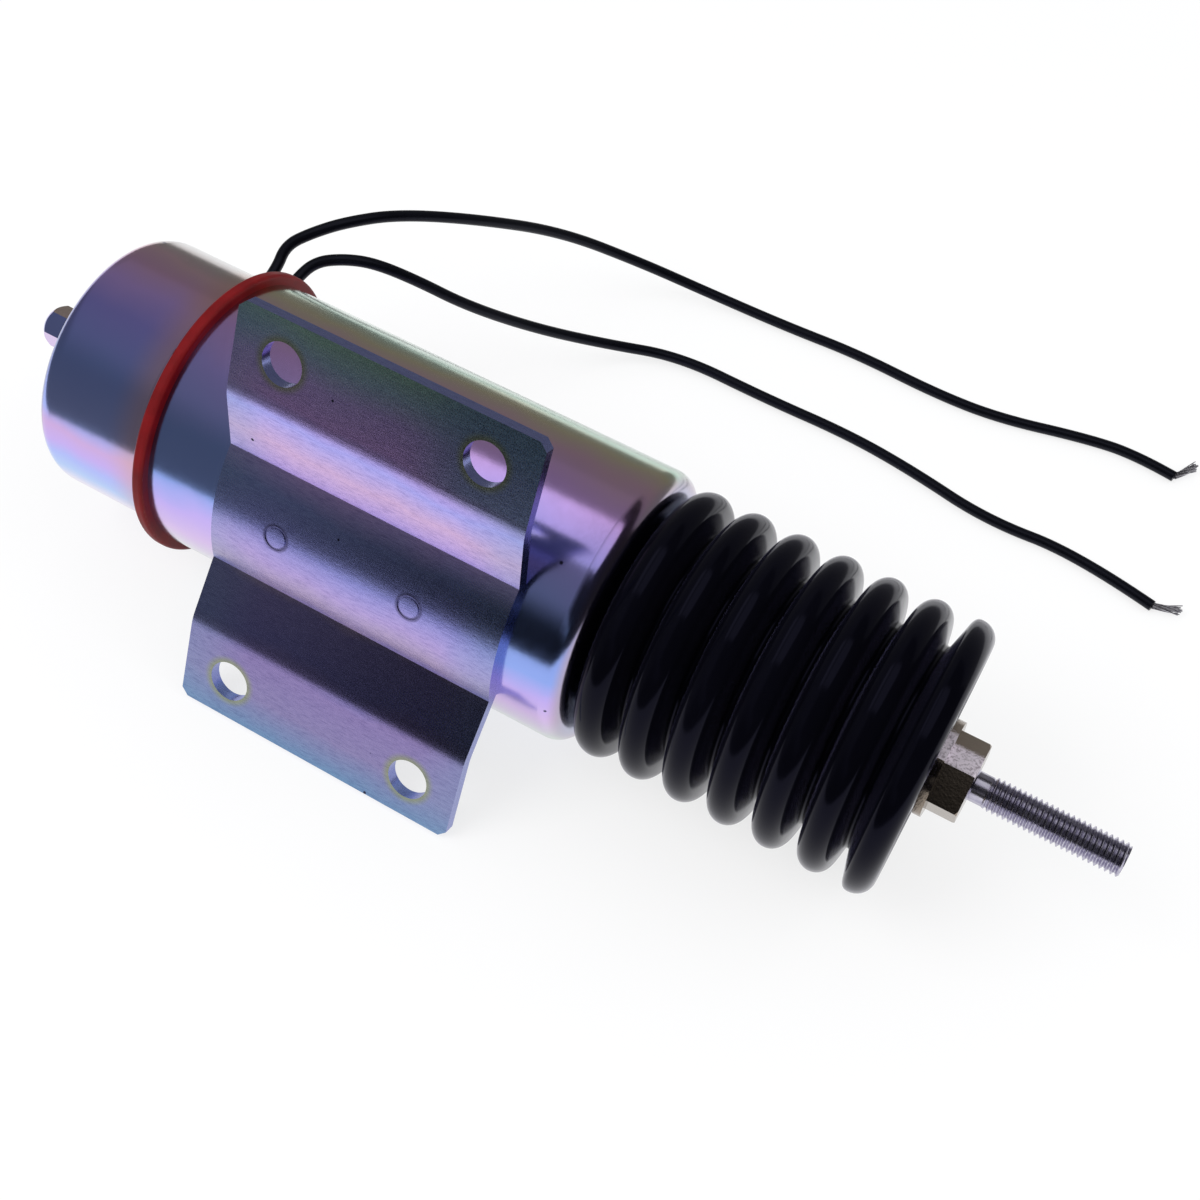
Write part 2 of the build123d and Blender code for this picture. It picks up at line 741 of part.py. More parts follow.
placed = {name: [bench * solid for solid in solids_of(shape)] for name, shape in pieces.items()}
for lead in lead_routes:
    placed[lead] = solids_of(lead_tube(lead))
    placed[lead.replace("lead", "strands")] = solids_of(strand_tip(lead))

os.makedirs("parts", exist_ok=True)
for name, solids in placed.items():
    whole = solids[0] if len(solids) == 1 else Compound(children=solids)
    export_step(whole, f"parts/{name}.step")

print(f"roll {roll:.3f}, middle {middle_x:.3f} {middle_y:.3f}, stud end {stud_end:.2f}")
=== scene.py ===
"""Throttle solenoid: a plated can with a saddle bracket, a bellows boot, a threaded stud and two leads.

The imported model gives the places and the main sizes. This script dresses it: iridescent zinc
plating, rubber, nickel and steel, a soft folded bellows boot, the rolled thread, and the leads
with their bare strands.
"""

import json
import math

import bmesh
import bpy
from mathutils import Matrix, Vector


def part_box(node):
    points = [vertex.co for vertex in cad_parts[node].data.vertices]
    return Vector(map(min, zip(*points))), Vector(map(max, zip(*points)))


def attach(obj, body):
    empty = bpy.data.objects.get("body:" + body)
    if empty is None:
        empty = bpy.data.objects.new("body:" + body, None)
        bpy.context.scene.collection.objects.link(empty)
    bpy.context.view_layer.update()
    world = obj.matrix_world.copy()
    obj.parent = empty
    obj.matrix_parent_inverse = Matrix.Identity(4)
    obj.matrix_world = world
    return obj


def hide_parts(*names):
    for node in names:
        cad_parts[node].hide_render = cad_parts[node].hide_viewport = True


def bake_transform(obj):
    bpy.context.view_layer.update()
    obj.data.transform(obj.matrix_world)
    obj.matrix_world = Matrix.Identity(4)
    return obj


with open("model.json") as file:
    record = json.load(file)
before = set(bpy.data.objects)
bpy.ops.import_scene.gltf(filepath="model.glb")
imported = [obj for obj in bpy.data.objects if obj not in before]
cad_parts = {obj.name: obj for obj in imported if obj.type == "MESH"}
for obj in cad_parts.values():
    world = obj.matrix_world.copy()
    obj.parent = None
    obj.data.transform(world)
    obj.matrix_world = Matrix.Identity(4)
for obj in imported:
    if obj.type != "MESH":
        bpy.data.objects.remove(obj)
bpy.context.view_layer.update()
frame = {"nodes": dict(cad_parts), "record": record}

MM = 0.001

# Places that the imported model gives
can_low, can_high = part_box("body_shell")
AXIS = Vector((0, (can_low.y + can_high.y) / 2, (can_low.z + can_high.z) / 2))
CAN_RADIUS = (can_high.z - can_low.z) / 2
CAN_FRONT = can_high.x
CAP_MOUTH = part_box("rear_cap")[1].x
BOOT_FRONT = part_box("bellows_boot")[1].x
STUD_START, STUD_END = (corner.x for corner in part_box("drive_stud"))
HEX_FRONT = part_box("hex_collar")[1].x
mounts = {mount["name"]: mount for mount in frame["record"]["mounts"]}
WING_NORMAL = Vector(mounts["upper_wing_holes"]["axis"])
WING_ACROSS = Vector((0, WING_NORMAL.z, -WING_NORMAL.y))
bracket_low, bracket_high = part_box("mounting_bracket")
BRACKET_MIDDLE = (bracket_low.x + bracket_high.x) / 2
BRACKET_HALF_LENGTH = (bracket_high.x - bracket_low.x) / 2
HOLE_HALF_SPACING = mounts["upper_wing_holes"]["dims"]["pcd_mm"] / 2 * MM
HOLE_RADIUS = mounts["upper_wing_holes"]["dims"]["hole_r_mm"] * MM

# Bracket and cap: sizes across the bracket, its welds, and bands where the film changes
BRACKET_HALF_WIDTH = 53.6 * MM
HOLE_OFFSET = 43.1 * MM
HOLE_RIM = 2.2 * MM
UPPER_WING_FOOT = 29 * MM
WELD_HALF_SPACING = 17.9 * MM
WELD_SHIFT = -2.7 * MM
WELD_RADIUS = 3.0 * MM
CAP_MOUTH_BAND = 12 * MM

# The photograph's view
CAMERA_PLACE = Vector((0.12275, -0.21897, 0.36583))
CAMERA_AIM = Vector((0.01614, 0.00869, 0.037))
CAMERA_ROLL = math.radians(6.3)
LENS = 53.46
SENSOR = 36.0
NEAREST_SEEN = 0.01

# Leads: the same points as the solids' routes, in metres
LEAD_DIAMETER = 3.0 * MM
LEAD_ROUTES = {
    "lead_a": [
        (-0.10495, 0.043314, 0.044763), (-0.10495, 0.049163, 0.046101), (-0.1057, 0.0549, 0.050),
        (-0.1011, 0.0602, 0.0526), (-0.0953, 0.0672, 0.054), (-0.087, 0.0786, 0.0526),
        (-0.0748, 0.0969, 0.044), (-0.0618, 0.1219, 0.028), (-0.0444, 0.1398, 0.012),
        (-0.024, 0.1493, 0.0026), (0.0005, 0.1507, 0.0015), (0.0228, 0.1521, 0.0015),
        (0.0477, 0.1504, 0.0015), (0.0674, 0.1515, 0.0015), (0.091, 0.1581, 0.0015),
        (0.1058, 0.1603, 0.0015), (0.118, 0.1585, 0.0015),
    ],
    "lead_b": [
        (-0.09875, 0.043314, 0.044763), (-0.09875, 0.049163, 0.046101), (-0.0968, 0.0552, 0.0486),
        (-0.0906, 0.0589, 0.050), (-0.0839, 0.063, 0.049), (-0.0753, 0.0691, 0.043),
        (-0.0648, 0.0781, 0.0322), (-0.0528, 0.0941, 0.0176), (-0.0389, 0.1097, 0.0066),
        (-0.020, 0.1219, 0.0018), (0.0077, 0.1212, 0.0015), (0.0337, 0.1217, 0.0015),
        (0.0547, 0.1193, 0.0015), (0.0793, 0.1142, 0.0015), (0.1047, 0.1166, 0.0015),
        (0.1281, 0.1111, 0.0015),
    ],
}
STRAND_ENDS = {"lead_a": Vector((0.1224, 0.1654, 0.0022)), "lead_b": Vector((0.1356, 0.1136, 0.0018))}
STRAND_COUNT = 19
STRAND_RADIUS = 0.15 * MM
STRAND_BUNDLE_RADIUS = 0.85 * MM
STRAND_SPLAY = 0.9
STRAND_TWIST = 1.5
STRAND_LAY_ANGLE = math.radians(137.5)
STRAND_OPENING = 2.2
STRAND_STEPS = 9
WIRE_SIDES = 8
LEAD_STEPS = 14
LEAD_SIDE_STEPS = 6

# Bellows boot: the bends of its ridges and valleys, its ends, and the lean of its soft front
RIDGE_RADIUS = 4.6 * MM
BOOT_RADIUS = 33.4 * MM
VALLEY_RADIUS = 25.0 * MM
RIDGE_BEND = 3.9 * MM
LAST_RIDGE_BEND = 2.6 * MM
VALLEY_BEND = 0.9 * MM
BOOT_WALL = 1.6 * MM
FIRST_RIDGE_GAP = 6.3 * MM
RIDGE_PITCH = 11.18 * MM
RIDGE_COUNT = 7
BOOT_BEAD_RADIUS = 20.15 * MM
BOOT_BEAD_PLAY = 0.15 * MM
BOOT_BEAD_BEVEL = 1.5 * MM
BOOT_NECK_RADIUS = 8.2 * MM
BOOT_END_DISH = 3.0 * MM
BOOT_END = BOOT_FRONT - RIDGE_RADIUS + BOOT_END_DISH
BOOT_LEAN = 0.048
BOOT_LEAN_RADIUS = 22.0 * MM
BOOT_LEAN_WAY = Vector((0, 0.57, -0.82))
BOOT_TURN_STEPS = 160
BOOT_ARC_STEPS = 14

# Drive stud: M8 x 1.25 rolled thread after a smooth neck
THREAD_PITCH = 1.25 * MM
THREAD_CREST_RADIUS = 4.0 * MM
THREAD_DEPTH = 0.74 * MM
THREAD_START = HEX_FRONT + 3.4 * MM
THREAD_STEPS_A_TURN = 12
THREAD_STEPS_AROUND = 48
THREAD_END_BEVEL = 0.5 * MM
NECK_RADIUS = 3.55 * MM
THREAD_RUN_OUT = 0.35
THREAD_CREST_SHARE = 0.05
THREAD_ROOT_SHARE = 0.44
THREAD_OVERLAP = 0.2 * MM
NECK_STEP = 0.3 * MM
POLE_RADIUS = 0.01 * MM
SCREWED_RADIUS = 5.0 * MM
SCREWED_DEPTH = 20.0 * MM
SHOULDER_RADIUS = 6.5 * MM
SHOULDER_LENGTH = 62.0 * MM
STUD_TURN_STEPS = 64

# Springs
RETURN_SPRING_TURNS = 8
RETURN_WIRE_RADIUS = 1.1 * MM
PIN_SPRING_TURNS = 5
PIN_WIRE_RADIUS = 0.3 * MM
STEPS_A_TURN = 28
SPRING_WIRE_SIDES = 12

# Edges sharper than this many degrees stay crisp
SHARP_EDGE = 38
SHARP_THREAD = 70
SHARP_WIRE = 60
MERGE_DISTANCE = 0.002 * MM

# Sizes of the marks in the finishes, and how far the film's colours drift
FILM_PATCH = 26.3 * MM
FILM_DRIFT = 0.34
SHEET_FILM_PATCH = 22.2 * MM
SHEET_FILM_DRIFT = 0.06
DRAWN_WEAR = 2.38 * MM
ROLLED_GRAIN = 0.278 * MM
ROLLED_GRIT = 0.455 * MM
ROLLED_STREAK = 0.385 * MM
ROLLED_STRETCH = 0.16
NICKEL_PIT = 0.667 * MM
COIL_WIRE = 1.0 * MM

# Studio, in metres
FLOOR_HALF = 6.0
FLOOR_LEVEL = -0.2 * MM
SOFTBOX_X = (-0.28, 0.35)
SOFTBOX_Y = (-0.2, 0.24)
SOFTBOX_HEIGHT = 0.62
TENT_RADIUS = 0.72
TENT_GREY = "#868686"
SOFTBOX_SHADES = [(0.0, "#ffffff"), (0.2, "#ffffff"), (0.27, "#9a9a9a"), (0.34, "#9a9a9a"),
                  (0.42, "#dcdcdc")]
DARK_CARD_SHADES = [(0.0, "#6e6e6e"), (0.5, "#6e6e6e"), (0.53, "#545454"), (0.56, "#353535"),
                    (0.59, "#202020"), (0.7, "#171717")]
TENT_SHADES = [(0.0, TENT_GREY), (0.44, TENT_GREY), (0.52, "#3a3a3a"), (0.6, "#242424")]
DARK_CARD_PLACE = Vector((-0.141, -0.188, 0))
DARK_CARD_FACING = Vector((-0.6, -0.8, 0))
DARK_CARD_HEIGHT = 0.25
DARK_CARD_SHADED = (-0.62, 0.34)
DARK_CARD_FADE = (0.12, 0.25, TENT_GREY)
REAR_CARD_PLACE = Vector((-0.1, 0.3, 0))
REAR_CARD_FACING = Vector((0, 1, 0))
REAR_CARD_HEIGHT = 0.3
CARD_HALF_WIDTH = 0.6

# Each lamp's place, size and power in watts
LAMPS = {"key_lamp": ((-0.45, -0.5, 0.85), 0.6, 5.0), "fill_lamp": ((0.7, 0.3, 0.7), 0.7, 2.0)}

# Node settings that come back often, and the sockets of a mix of two colours
SMOOTH = {"interpolation_type": "SMOOTHSTEP"}
COLOURS = {"data_type": "RGBA"}
SHARE, UNDER, OVER, MIXED = 0, 6, 7, 2


def srgb(code):
    """Linear RGBA of an sRGB hex colour."""
    channels = [int(code[i:i + 2], 16) / 255 for i in (1, 3, 5)]
    linear = [c / 12.92 if c <= 0.04045 else ((c + 0.055) / 1.055) ** 2.4 for c in channels]
    return (*linear, 1.0)


def add(tree, kind, settings=None, inputs=None, stops=None):
    """Add one node with its settings and links. A kind without Node in it is a shader node's, and
    settings in one word are its operation. A node given as an input stands for its first output;
    stops are the places and colours of a ramp."""
    node = tree.nodes.new(kind if "Node" in kind else "ShaderNode" + kind)
    if isinstance(settings, str):
        settings = {"operation": settings}
    for name, value in (settings or {}).items():
        setattr(node, name, value)
    for key, value in (inputs or {}).items():
        source = value.outputs[0] if isinstance(value, bpy.types.Node) else value
        if isinstance(source, bpy.types.NodeSocket):
            tree.links.new(source, node.inputs[key])
        else:
            node.inputs[key].default_value = source
    if stops:
        elements = node.color_ramp.elements
        for place, _ in stops[2:]:
            elements.new(place)
        for element, (place, code) in zip(elements, stops):
            element.position = place
            element.color = srgb(code)
    return node


def blank_material(name):
    """A material without nodes; returns it and its tree."""
    material = bpy.data.materials.new(name)
    material.use_nodes = True
    material.node_tree.nodes.clear()
    return material, material.node_tree


def new_finish(name, **shader):
    """A material with one Principled shader; returns the material, its tree and the shader."""
    material, tree = blank_material(name)
    surface = add(tree, "BsdfPrincipled", None, shader)
    add(tree, "OutputMaterial", None, {"Surface": surface})
    return material, tree, surface


def lay_finish(tree, shader, colour, dulled, rough, raised, strength, depth):
    """Link a finish's colour, a roughness that follows one pattern and a relief that follows
    another."""
    dull = add(tree, "MapRange", None, {"Value": dulled, "To Min": rough[0], "To Max": rough[1]})
    relief = add(tree, "Bump", None, {"Strength": strength, "Distance": depth, "Height": raised})
    tree.links.new(colour, shader.inputs["Base Color"])
    tree.links.new(dull.outputs[0], shader.inputs["Roughness"])
    tree.links.new(relief.outputs[0], shader.inputs["Normal"])


def pinholes(tree, centred, cell, radius, skipped):
    """Sparse pinholes of at most this radius, one to a cell, with most cells skipped."""
    cells = add(tree, "TexVoronoi", None, {"Vector": centred, "Scale": 1 / cell})
    chance = add(tree, "SeparateXYZ", None, {0: cells.outputs["Color"]})
    chosen = add(tree, "Math", "GREATER_THAN", {0: chance, 1: skipped})
    close = add(tree, "Math", "LESS_THAN", {0: cells.outputs["Distance"], 1: radius / cell})
    return add(tree, "Math", "MULTIPLY", {0: chosen, 1: close})


def about_axis(tree):
    """Object coordinates measured from the solenoid's axis, split into X, Y and Z."""
    place = add(tree, "TexCoord")
    centred = add(tree, "Mapping", None, {"Vector": place.outputs["Object"], "Location": -AXIS})
    return place, centred, add(tree, "SeparateXYZ", None, {0: centred})


def turned_angle(degrees):
    """An angle about the axis, 0 at the top and negative towards the bracket, as a share of a turn."""
    return degrees / 360 + 0.5


# Interference colours of the chromate film by the way that the surface faces. The film is
# pale and almost metallic white where it is thin, then olive, rose, lilac and blue.
CAN_FILM = [(-180, "#cdbbe8"), (-150, "#b3c4ee"), (-124, "#cfe0d2"), (-110, "#d9d0e4"),
            (-97, "#dabfee"), (-84, "#c6b2f4"), (-73, "#94acf0"), (-50, "#8ca4e8"), (-24, "#aca0ea"),
            (-4, "#cda6e6"), (12, "#d8b2c8"), (24, "#d2c8a8"), (34, "#b4d0be"), (48, "#dfe9e4"),
            (80, "#bcc8ea"), (112, "#d3b4e0"), (146, "#bccdf0"), (180, "#cdbbe8")]
CAP_FILM = [(-180, "#c8bdea"), (-140, "#d6bfe0"), (-114, "#dcd8f0"), (-101, "#aecaf8"),
            (-91, "#b0bcfa"), (-83, "#c8b0f0"), (-75, "#cfaee0"), (-66, "#a6b4f4"), (-44, "#8ea2ea"),
            (-22, "#9a94e6"), (-6, "#c2a4ea"), (8, "#d2a8cc"), (20, "#dab6c2"), (29, "#bcb0ae"),
            (38, "#ccc8c8"), (60, "#e2e8e6"), (110, "#c6b8ee"), (180, "#c8bdea")]
# The bracket's film by the place across it in millimetres, from the lower wing's edge. Below about
# -15 mm, on the lower wing and its slope, the stops are painted darker as shade
BRACKET_FILM_AND_SHADE = [(-53.6, "#7799be"), (-44, "#948bb8"), (-33, "#9585b9"), (-27, "#8886c5"),
                (-17, "#928bc5"), (-14, "#bca9c4"), (-8, "#bca8de"), (0, "#9c9ee4"), (10, "#9aa8e6"),
                (16, "#c4acea"), (22, "#dab8e0"), (29, "#b4b0f6"), (34, "#c4a2e2"), (42, "#bca8e4"),
                (49, "#9fb8cc"), (53.6, "#9cc0b4")]


def plated_steel(name, film, rim_place=None, roughness=0.17, ends=("#d9c3e6", "#b9a2b0")):
    """Drawn steel, zinc plated and chromated: smooth and mirror-like, with drifting film colours."""
    material, tree, shader = new_finish(name, Metallic=1.0)
    place, centred, axes = about_axis(tree)
    facing = add(tree, "SeparateXYZ", None, {0: place.outputs["Normal"]})
    angle = add(tree, "Math", "ARCTAN2", {0: facing.outputs["Y"], 1: facing.outputs["Z"]})
    drift = add(tree, "TexNoise", None,
                {"Vector": centred, "Scale": 1 / FILM_PATCH, "Detail": 2.0, "Roughness": 0.5})
    shifted = add(tree, "Math", "MULTIPLY_ADD", {0: drift, 1: FILM_DRIFT, 2: angle})
    share = add(tree, "Math", "MULTIPLY_ADD",
                {0: shifted, 1: 1 / (2 * math.pi), 2: 0.5 - FILM_DRIFT / (4 * math.pi)})
    stops = [(turned_angle(degrees), code) for degrees, code in film]
    colour = add(tree, "ValToRGB", None, {0: share}, stops=stops)
    if rim_place is not None:
        # The film is thicker along the drawn rim, which turns it towards rose and brown
        near_rim = add(tree, "MapRange", SMOOTH,
                       {"Value": axes.outputs["X"], "From Min": rim_place - CAP_MOUTH_BAND,
                        "From Max": rim_place - 1 * MM, "To Max": 0.5})
        colour = add(tree, "Mix", COLOURS,
                     {SHARE: near_rim, UNDER: colour, OVER: srgb("#d9a88e")}).outputs[MIXED]
    along = add(tree, "Math", "ABSOLUTE", {0: facing.outputs["X"]})
    on_end = add(tree, "MapRange", SMOOTH, {"Value": along, "From Min": 0.35, "From Max": 0.95})
    flat = add(tree, "CombineXYZ", None, {1: axes.outputs["Y"], 2: axes.outputs["Z"]})
    reach = add(tree, "VectorMath", "LENGTH", {0: flat})
    rings = add(tree, "Math", "MULTIPLY_ADD", {0: drift, 1: 6 * MM, 2: reach.outputs["Value"]})
    end_share = add(tree, "Math", "DIVIDE", {0: rings, 1: CAN_RADIUS + 3 * MM})
    end_colour = add(tree, "ValToRGB", None, {0: end_share},
                     stops=[(0.0, "#b9c4ee"), (0.3, "#cbb4e6"), (0.55, ends[0]), (0.8, "#bcc8e6"),
                            (1.0, ends[1])])
    both = add(tree, "Mix", COLOURS, {SHARE: on_end, UNDER: colour, OVER: end_colour})
    # Sparse dark pinholes, up to about a millimetre across
    pits = pinholes(tree, centred, 7.41 * MM, 0.556 * MM, 0.84)
    pitted = add(tree, "Mix", COLOURS, {SHARE: pits, UNDER: both.outputs[MIXED], OVER: srgb("#4a4668")})
    wear = add(tree, "TexNoise", None,
               {"Vector": centred, "Scale": 1 / DRAWN_WEAR, "Detail": 4.0, "Roughness": 0.7})
    rough = (roughness - 0.04, roughness + 0.06)
    lay_finish(tree, shader, pitted.outputs[MIXED], wear, rough, wear, 0.06, 0.2 * MM)
    return material


def sheet_film_and_shade(tree, drift, across, from_middle, end_way):
    """The bracket's film: bands across it, painted darker as shade on the lower wing and its slope,
    cyan towards its ends and slate on one wing.
    """
    wide = 2 * BRACKET_HALF_WIDTH
    share = add(tree, "Math", "MULTIPLY_ADD", {0: across, 1: 1 / wide, 2: 0.5 - SHEET_FILM_DRIFT / 2})
    drifted = add(tree, "Math", "MULTIPLY_ADD", {0: drift, 1: SHEET_FILM_DRIFT, 2: share})
    stops = [(0.5 + place * MM / wide, code) for place, code in BRACKET_FILM_AND_SHADE]
    colour = add(tree, "ValToRGB", None, {0: drifted}, stops=stops)
    # Cyan and green towards the sheared ends
    uneven = add(tree, "Math", "MULTIPLY_ADD", {0: drift, 1: 16 * MM, 2: end_way})
    near_end = add(tree, "MapRange", SMOOTH,
                   {"Value": uneven, "From Min": BRACKET_HALF_LENGTH - 8 * MM,
                    "From Max": BRACKET_HALF_LENGTH + 9 * MM, "To Max": 0.35})
    tinted = add(tree, "Mix", COLOURS, {SHARE: near_end, UNDER: colour, OVER: srgb("#86a6c8")})
    # The upper wing's forward part took a slate blue film
    forward = add(tree, "MapRange", SMOOTH,
                  {"Value": from_middle, "From Min": 4 * MM, "From Max": 24 * MM, "To Max": 0.75})
    on_wing = add(tree, "MapRange", SMOOTH,
                  {"Value": across, "From Min": UPPER_WING_FOOT, "From Max": UPPER_WING_FOOT + 6 * MM})
    slate_share = add(tree, "Math", "MULTIPLY", {0: forward, 1: on_wing})
    return add(tree, "Mix", COLOURS,
               {SHARE: slate_share, UNDER: tinted.outputs[MIXED], OVER: srgb("#7f9cc0")}).outputs[MIXED]


def hole_rims(tree, colour, across, end_way):
    """Olive rims round the four punched holes, which lie symmetrically."""
    hole_x = add(tree, "Math", "SUBTRACT", {0: end_way, 1: HOLE_HALF_SPACING})
    side_way = add(tree, "Math", "ABSOLUTE", {0: across})
    hole_y = add(tree, "Math", "SUBTRACT", {0: side_way, 1: HOLE_OFFSET})
    in_plane = add(tree, "CombineXYZ", None, {0: hole_x, 1: hole_y})
    from_hole = add(tree, "VectorMath", "LENGTH", {0: in_plane})
    rim = add(tree, "MapRange", SMOOTH,
              {"Value": from_hole.outputs["Value"], "From Min": HOLE_RADIUS,
               "From Max": HOLE_RADIUS + HOLE_RIM, "To Min": 0.75, "To Max": 0.0})
    return add(tree, "Mix", COLOURS, {SHARE: rim, UNDER: colour, OVER: srgb("#98a070")}).outputs[MIXED]


def weld_rings(tree, colour, across, from_middle):
    """Spot welds: a darker ring round each of the two dimples."""
    weld_x = add(tree, "Math", "SUBTRACT", {0: from_middle, 1: WELD_SHIFT})
    weld_way = add(tree, "Math", "ABSOLUTE", {0: weld_x})
    weld_rest = add(tree, "Math", "SUBTRACT", {0: weld_way, 1: WELD_HALF_SPACING})
    weld_spot = add(tree, "CombineXYZ", None, {0: weld_rest, 1: across})
    from_weld = add(tree, "VectorMath", "LENGTH", {0: weld_spot})
    ring_way = add(tree, "Math", "SUBTRACT", {0: from_weld.outputs["Value"], 1: WELD_RADIUS})
    off_ring = add(tree, "Math", "ABSOLUTE", {0: ring_way})
    weld_ring_mark = add(tree, "MapRange", SMOOTH,
               {"Value": off_ring, "From Min": 0.2 * MM, "From Max": 0.8 * MM, "To Min": 0.6,
                "To Max": 0.0})
    return add(tree, "Mix", COLOURS, {SHARE: weld_ring_mark, UNDER: colour, OVER: srgb("#4c4668")}).outputs[MIXED]


def bracket_steel():
    """Rolled sheet steel, stamped, then zinc plated: a grain along the sheet, film colours that
    turn green at the sheared edges and olive round the punched holes, and painted shade that darkens
    the lower wing."""
    material, tree, shader = new_finish("zinc_plated_rolled_sheet", Metallic=1.0)
    place, centred, axes = about_axis(tree)
    across = add(tree, "VectorMath", "DOT_PRODUCT", {0: centred, 1: WING_ACROSS}).outputs["Value"]
    from_middle = add(tree, "Math", "SUBTRACT", {0: axes.outputs["X"], 1: BRACKET_MIDDLE})
    end_way = add(tree, "Math", "ABSOLUTE", {0: from_middle})
    drift = add(tree, "TexNoise", None,
                {"Vector": centred, "Scale": 1 / SHEET_FILM_PATCH, "Detail": 2.5, "Roughness": 0.55})
    # Painted shade: the film is darker on the lower wing and its slope
    film = sheet_film_and_shade(tree, drift, across, from_middle, end_way)
    rimmed = hole_rims(tree, film, across, end_way)
    # The sheared edges and the walls of the holes took a thicker, bluer film
    facing = add(tree, "VectorMath", "DOT_PRODUCT", {0: place.outputs["Normal"], 1: WING_NORMAL})
    flatness = add(tree, "Math", "ABSOLUTE", {0: facing.outputs["Value"]})
    sheared = add(tree, "Math", "LESS_THAN", {0: flatness, 1: 0.25})
    edged = add(tree, "Mix", COLOURS,
                {SHARE: sheared, UNDER: rimmed, OVER: srgb("#8f97cf")}).outputs[MIXED]
    welded = weld_rings(tree, edged, across, from_middle)
    # Dark pits, under a millimetre across
    pits = pinholes(tree, centred, 6.67 * MM, 0.4 * MM, 0.82)
    pitted = add(tree, "Mix", COLOURS, {SHARE: pits, UNDER: welded, OVER: srgb("#35354c")})
    # Rolling grain, drawn out along the sheet and coarser than the real one so that it shows
    stretched = add(tree, "Mapping", None, {"Vector": centred, "Scale": (ROLLED_STRETCH, 1.0, 1.0)})
    grain = add(tree, "TexNoise", None,
                {"Vector": stretched, "Scale": 1 / ROLLED_GRAIN, "Detail": 3.0, "Roughness": 0.6})
    grit = add(tree, "TexNoise", None,
               {"Vector": centred, "Scale": 1 / ROLLED_GRIT, "Detail": 2.0, "Roughness": 0.6})
    relief = add(tree, "Mix", {"data_type": "FLOAT"}, {"Factor": 0.4, "A": grain, "B": grit})
    # The film is worn off the crests of the grain, so light and dark streaks show along the sheet
    streaks = add(tree, "TexNoise", None,
                  {"Vector": stretched, "Scale": 1 / ROLLED_STREAK, "Detail": 4.0, "Roughness": 0.7})
    streak = add(tree, "ValToRGB", None, {0: streaks},
                 stops=[(0.34, "#dcdce6"), (0.5, "#f6f6fa"), (0.62, "#ffffff")])
    streaked = add(tree, "Mix", COLOURS | {"blend_type": "MULTIPLY"},
                   {SHARE: 1.0, UNDER: pitted.outputs[MIXED], OVER: streak})
    lay_finish(tree, shader, streaked.outputs[MIXED], grit, (0.2, 0.34), relief, 0.55, 0.05 * MM)
    return material


def worked_metal(name, colour, shade, roughness, grain_size, along=1.0, bump=0.15):
    """Turned, drawn or cast metal: two shades of its colour and a grain, drawn out along the axis
    where along is small. The real grain is too fine to show, so it is drawn about 1 mm wide."""
    material, tree, shader = new_finish(name, Metallic=1.0)
    _, centred, _ = about_axis(tree)
    stretched = add(tree, "Mapping", None, {"Vector": centred, "Scale": (along, 1.0, 1.0)})
    grain = add(tree, "TexNoise", None,
                {"Vector": stretched, "Scale": 1 / grain_size, "Detail": 4.0, "Roughness": 0.65})
    tone = add(tree, "ValToRGB", None, {0: grain}, stops=[(0.35, shade), (0.65, colour)])
    rough = (roughness + 0.1, roughness - 0.06)
    lay_finish(tree, shader, tone.outputs[0], grain, rough, grain, bump, 0.1 * MM)
    return material


def pitted_nickel():
    """Nickel plate over a rough blank: one side is pitted and painted pale as a highlight, the rest is
    stained brown and smoother."""
    material, tree, shader = new_finish("barrel_nickel_plate", Metallic=1.0)
    _, centred, axes = about_axis(tree)
    angle = add(tree, "Math", "ARCTAN2", {0: axes.outputs["Y"], 1: axes.outputs["Z"]})
    pits = add(tree, "TexNoise", None,
               {"Vector": centred, "Scale": 1 / NICKEL_PIT, "Detail": 3.0, "Roughness": 0.6})
    ragged = add(tree, "Math", "MULTIPLY_ADD", {0: pits, 1: 0.25, 2: angle})
    below = add(tree, "MapRange", SMOOTH,
                {"Value": ragged, "From Min": math.radians(14), "From Max": math.radians(22),
                 "To Min": 1.0, "To Max": 0.0})
    above = add(tree, "Math", "GREATER_THAN", {0: angle, 1: math.radians(-26)})
    worn_and_highlit = add(tree, "Math", "MULTIPLY", {0: below, 1: above})
    # Painted highlight: the pitted side takes a pale grey, as if the light caught it
    tone = add(tree, "ValToRGB", None, {0: pits}, stops=[(0.36, "#a89ca6"), (0.52, "#eae0ea")])
    stained = add(tree, "Mix", COLOURS, {SHARE: worn_and_highlit, UNDER: srgb("#94887c"), OVER: tone})
    # The plate is worn dull on the pitted side and has tarnished on the side above it
    upper = add(tree, "Math", "SUBTRACT", {0: 1.0, 1: below})
    worn_metal = add(tree, "Math", "MULTIPLY_ADD", {0: worn_and_highlit, 1: -0.7, 2: 1.0})
    metal = add(tree, "Math", "MULTIPLY_ADD", {0: upper, 1: -0.45, 2: worn_metal})
    tree.links.new(metal.outputs[0], shader.inputs["Metallic"])
    lay_finish(tree, shader, stained.outputs[MIXED], worn_and_highlit, (0.16, 0.5), pits, 0.35, 0.1 * MM)
    return material


def moulded(name, colour, shade, roughness, grain_size=1.11 * MM, bump=0.1, **shader_values):
    """Moulded rubber or plastic: a soft mottle of two close shades and a faint surface grain. The
    real grain is too fine to show, so it is drawn a millimetre or more wide."""
    material, tree, shader = new_finish(name, **shader_values)
    place = add(tree, "TexCoord").outputs["Object"]
    mottle = add(tree, "TexNoise", None,
                 {"Vector": place, "Scale": 1 / (8 * grain_size), "Detail": 4.0, "Roughness": 0.6})
    tone = add(tree, "ValToRGB", None, {0: mottle}, stops=[(0.3, shade), (0.7, colour)])
    grain = add(tree, "TexNoise", None,
                {"Vector": place, "Scale": 1 / grain_size, "Detail": 2.0, "Roughness": 0.5})
    rough = (roughness - 0.04, roughness + 0.08)
    lay_finish(tree, shader, tone.outputs[0], mottle, rough, grain, bump, 0.08 * MM)
    return material


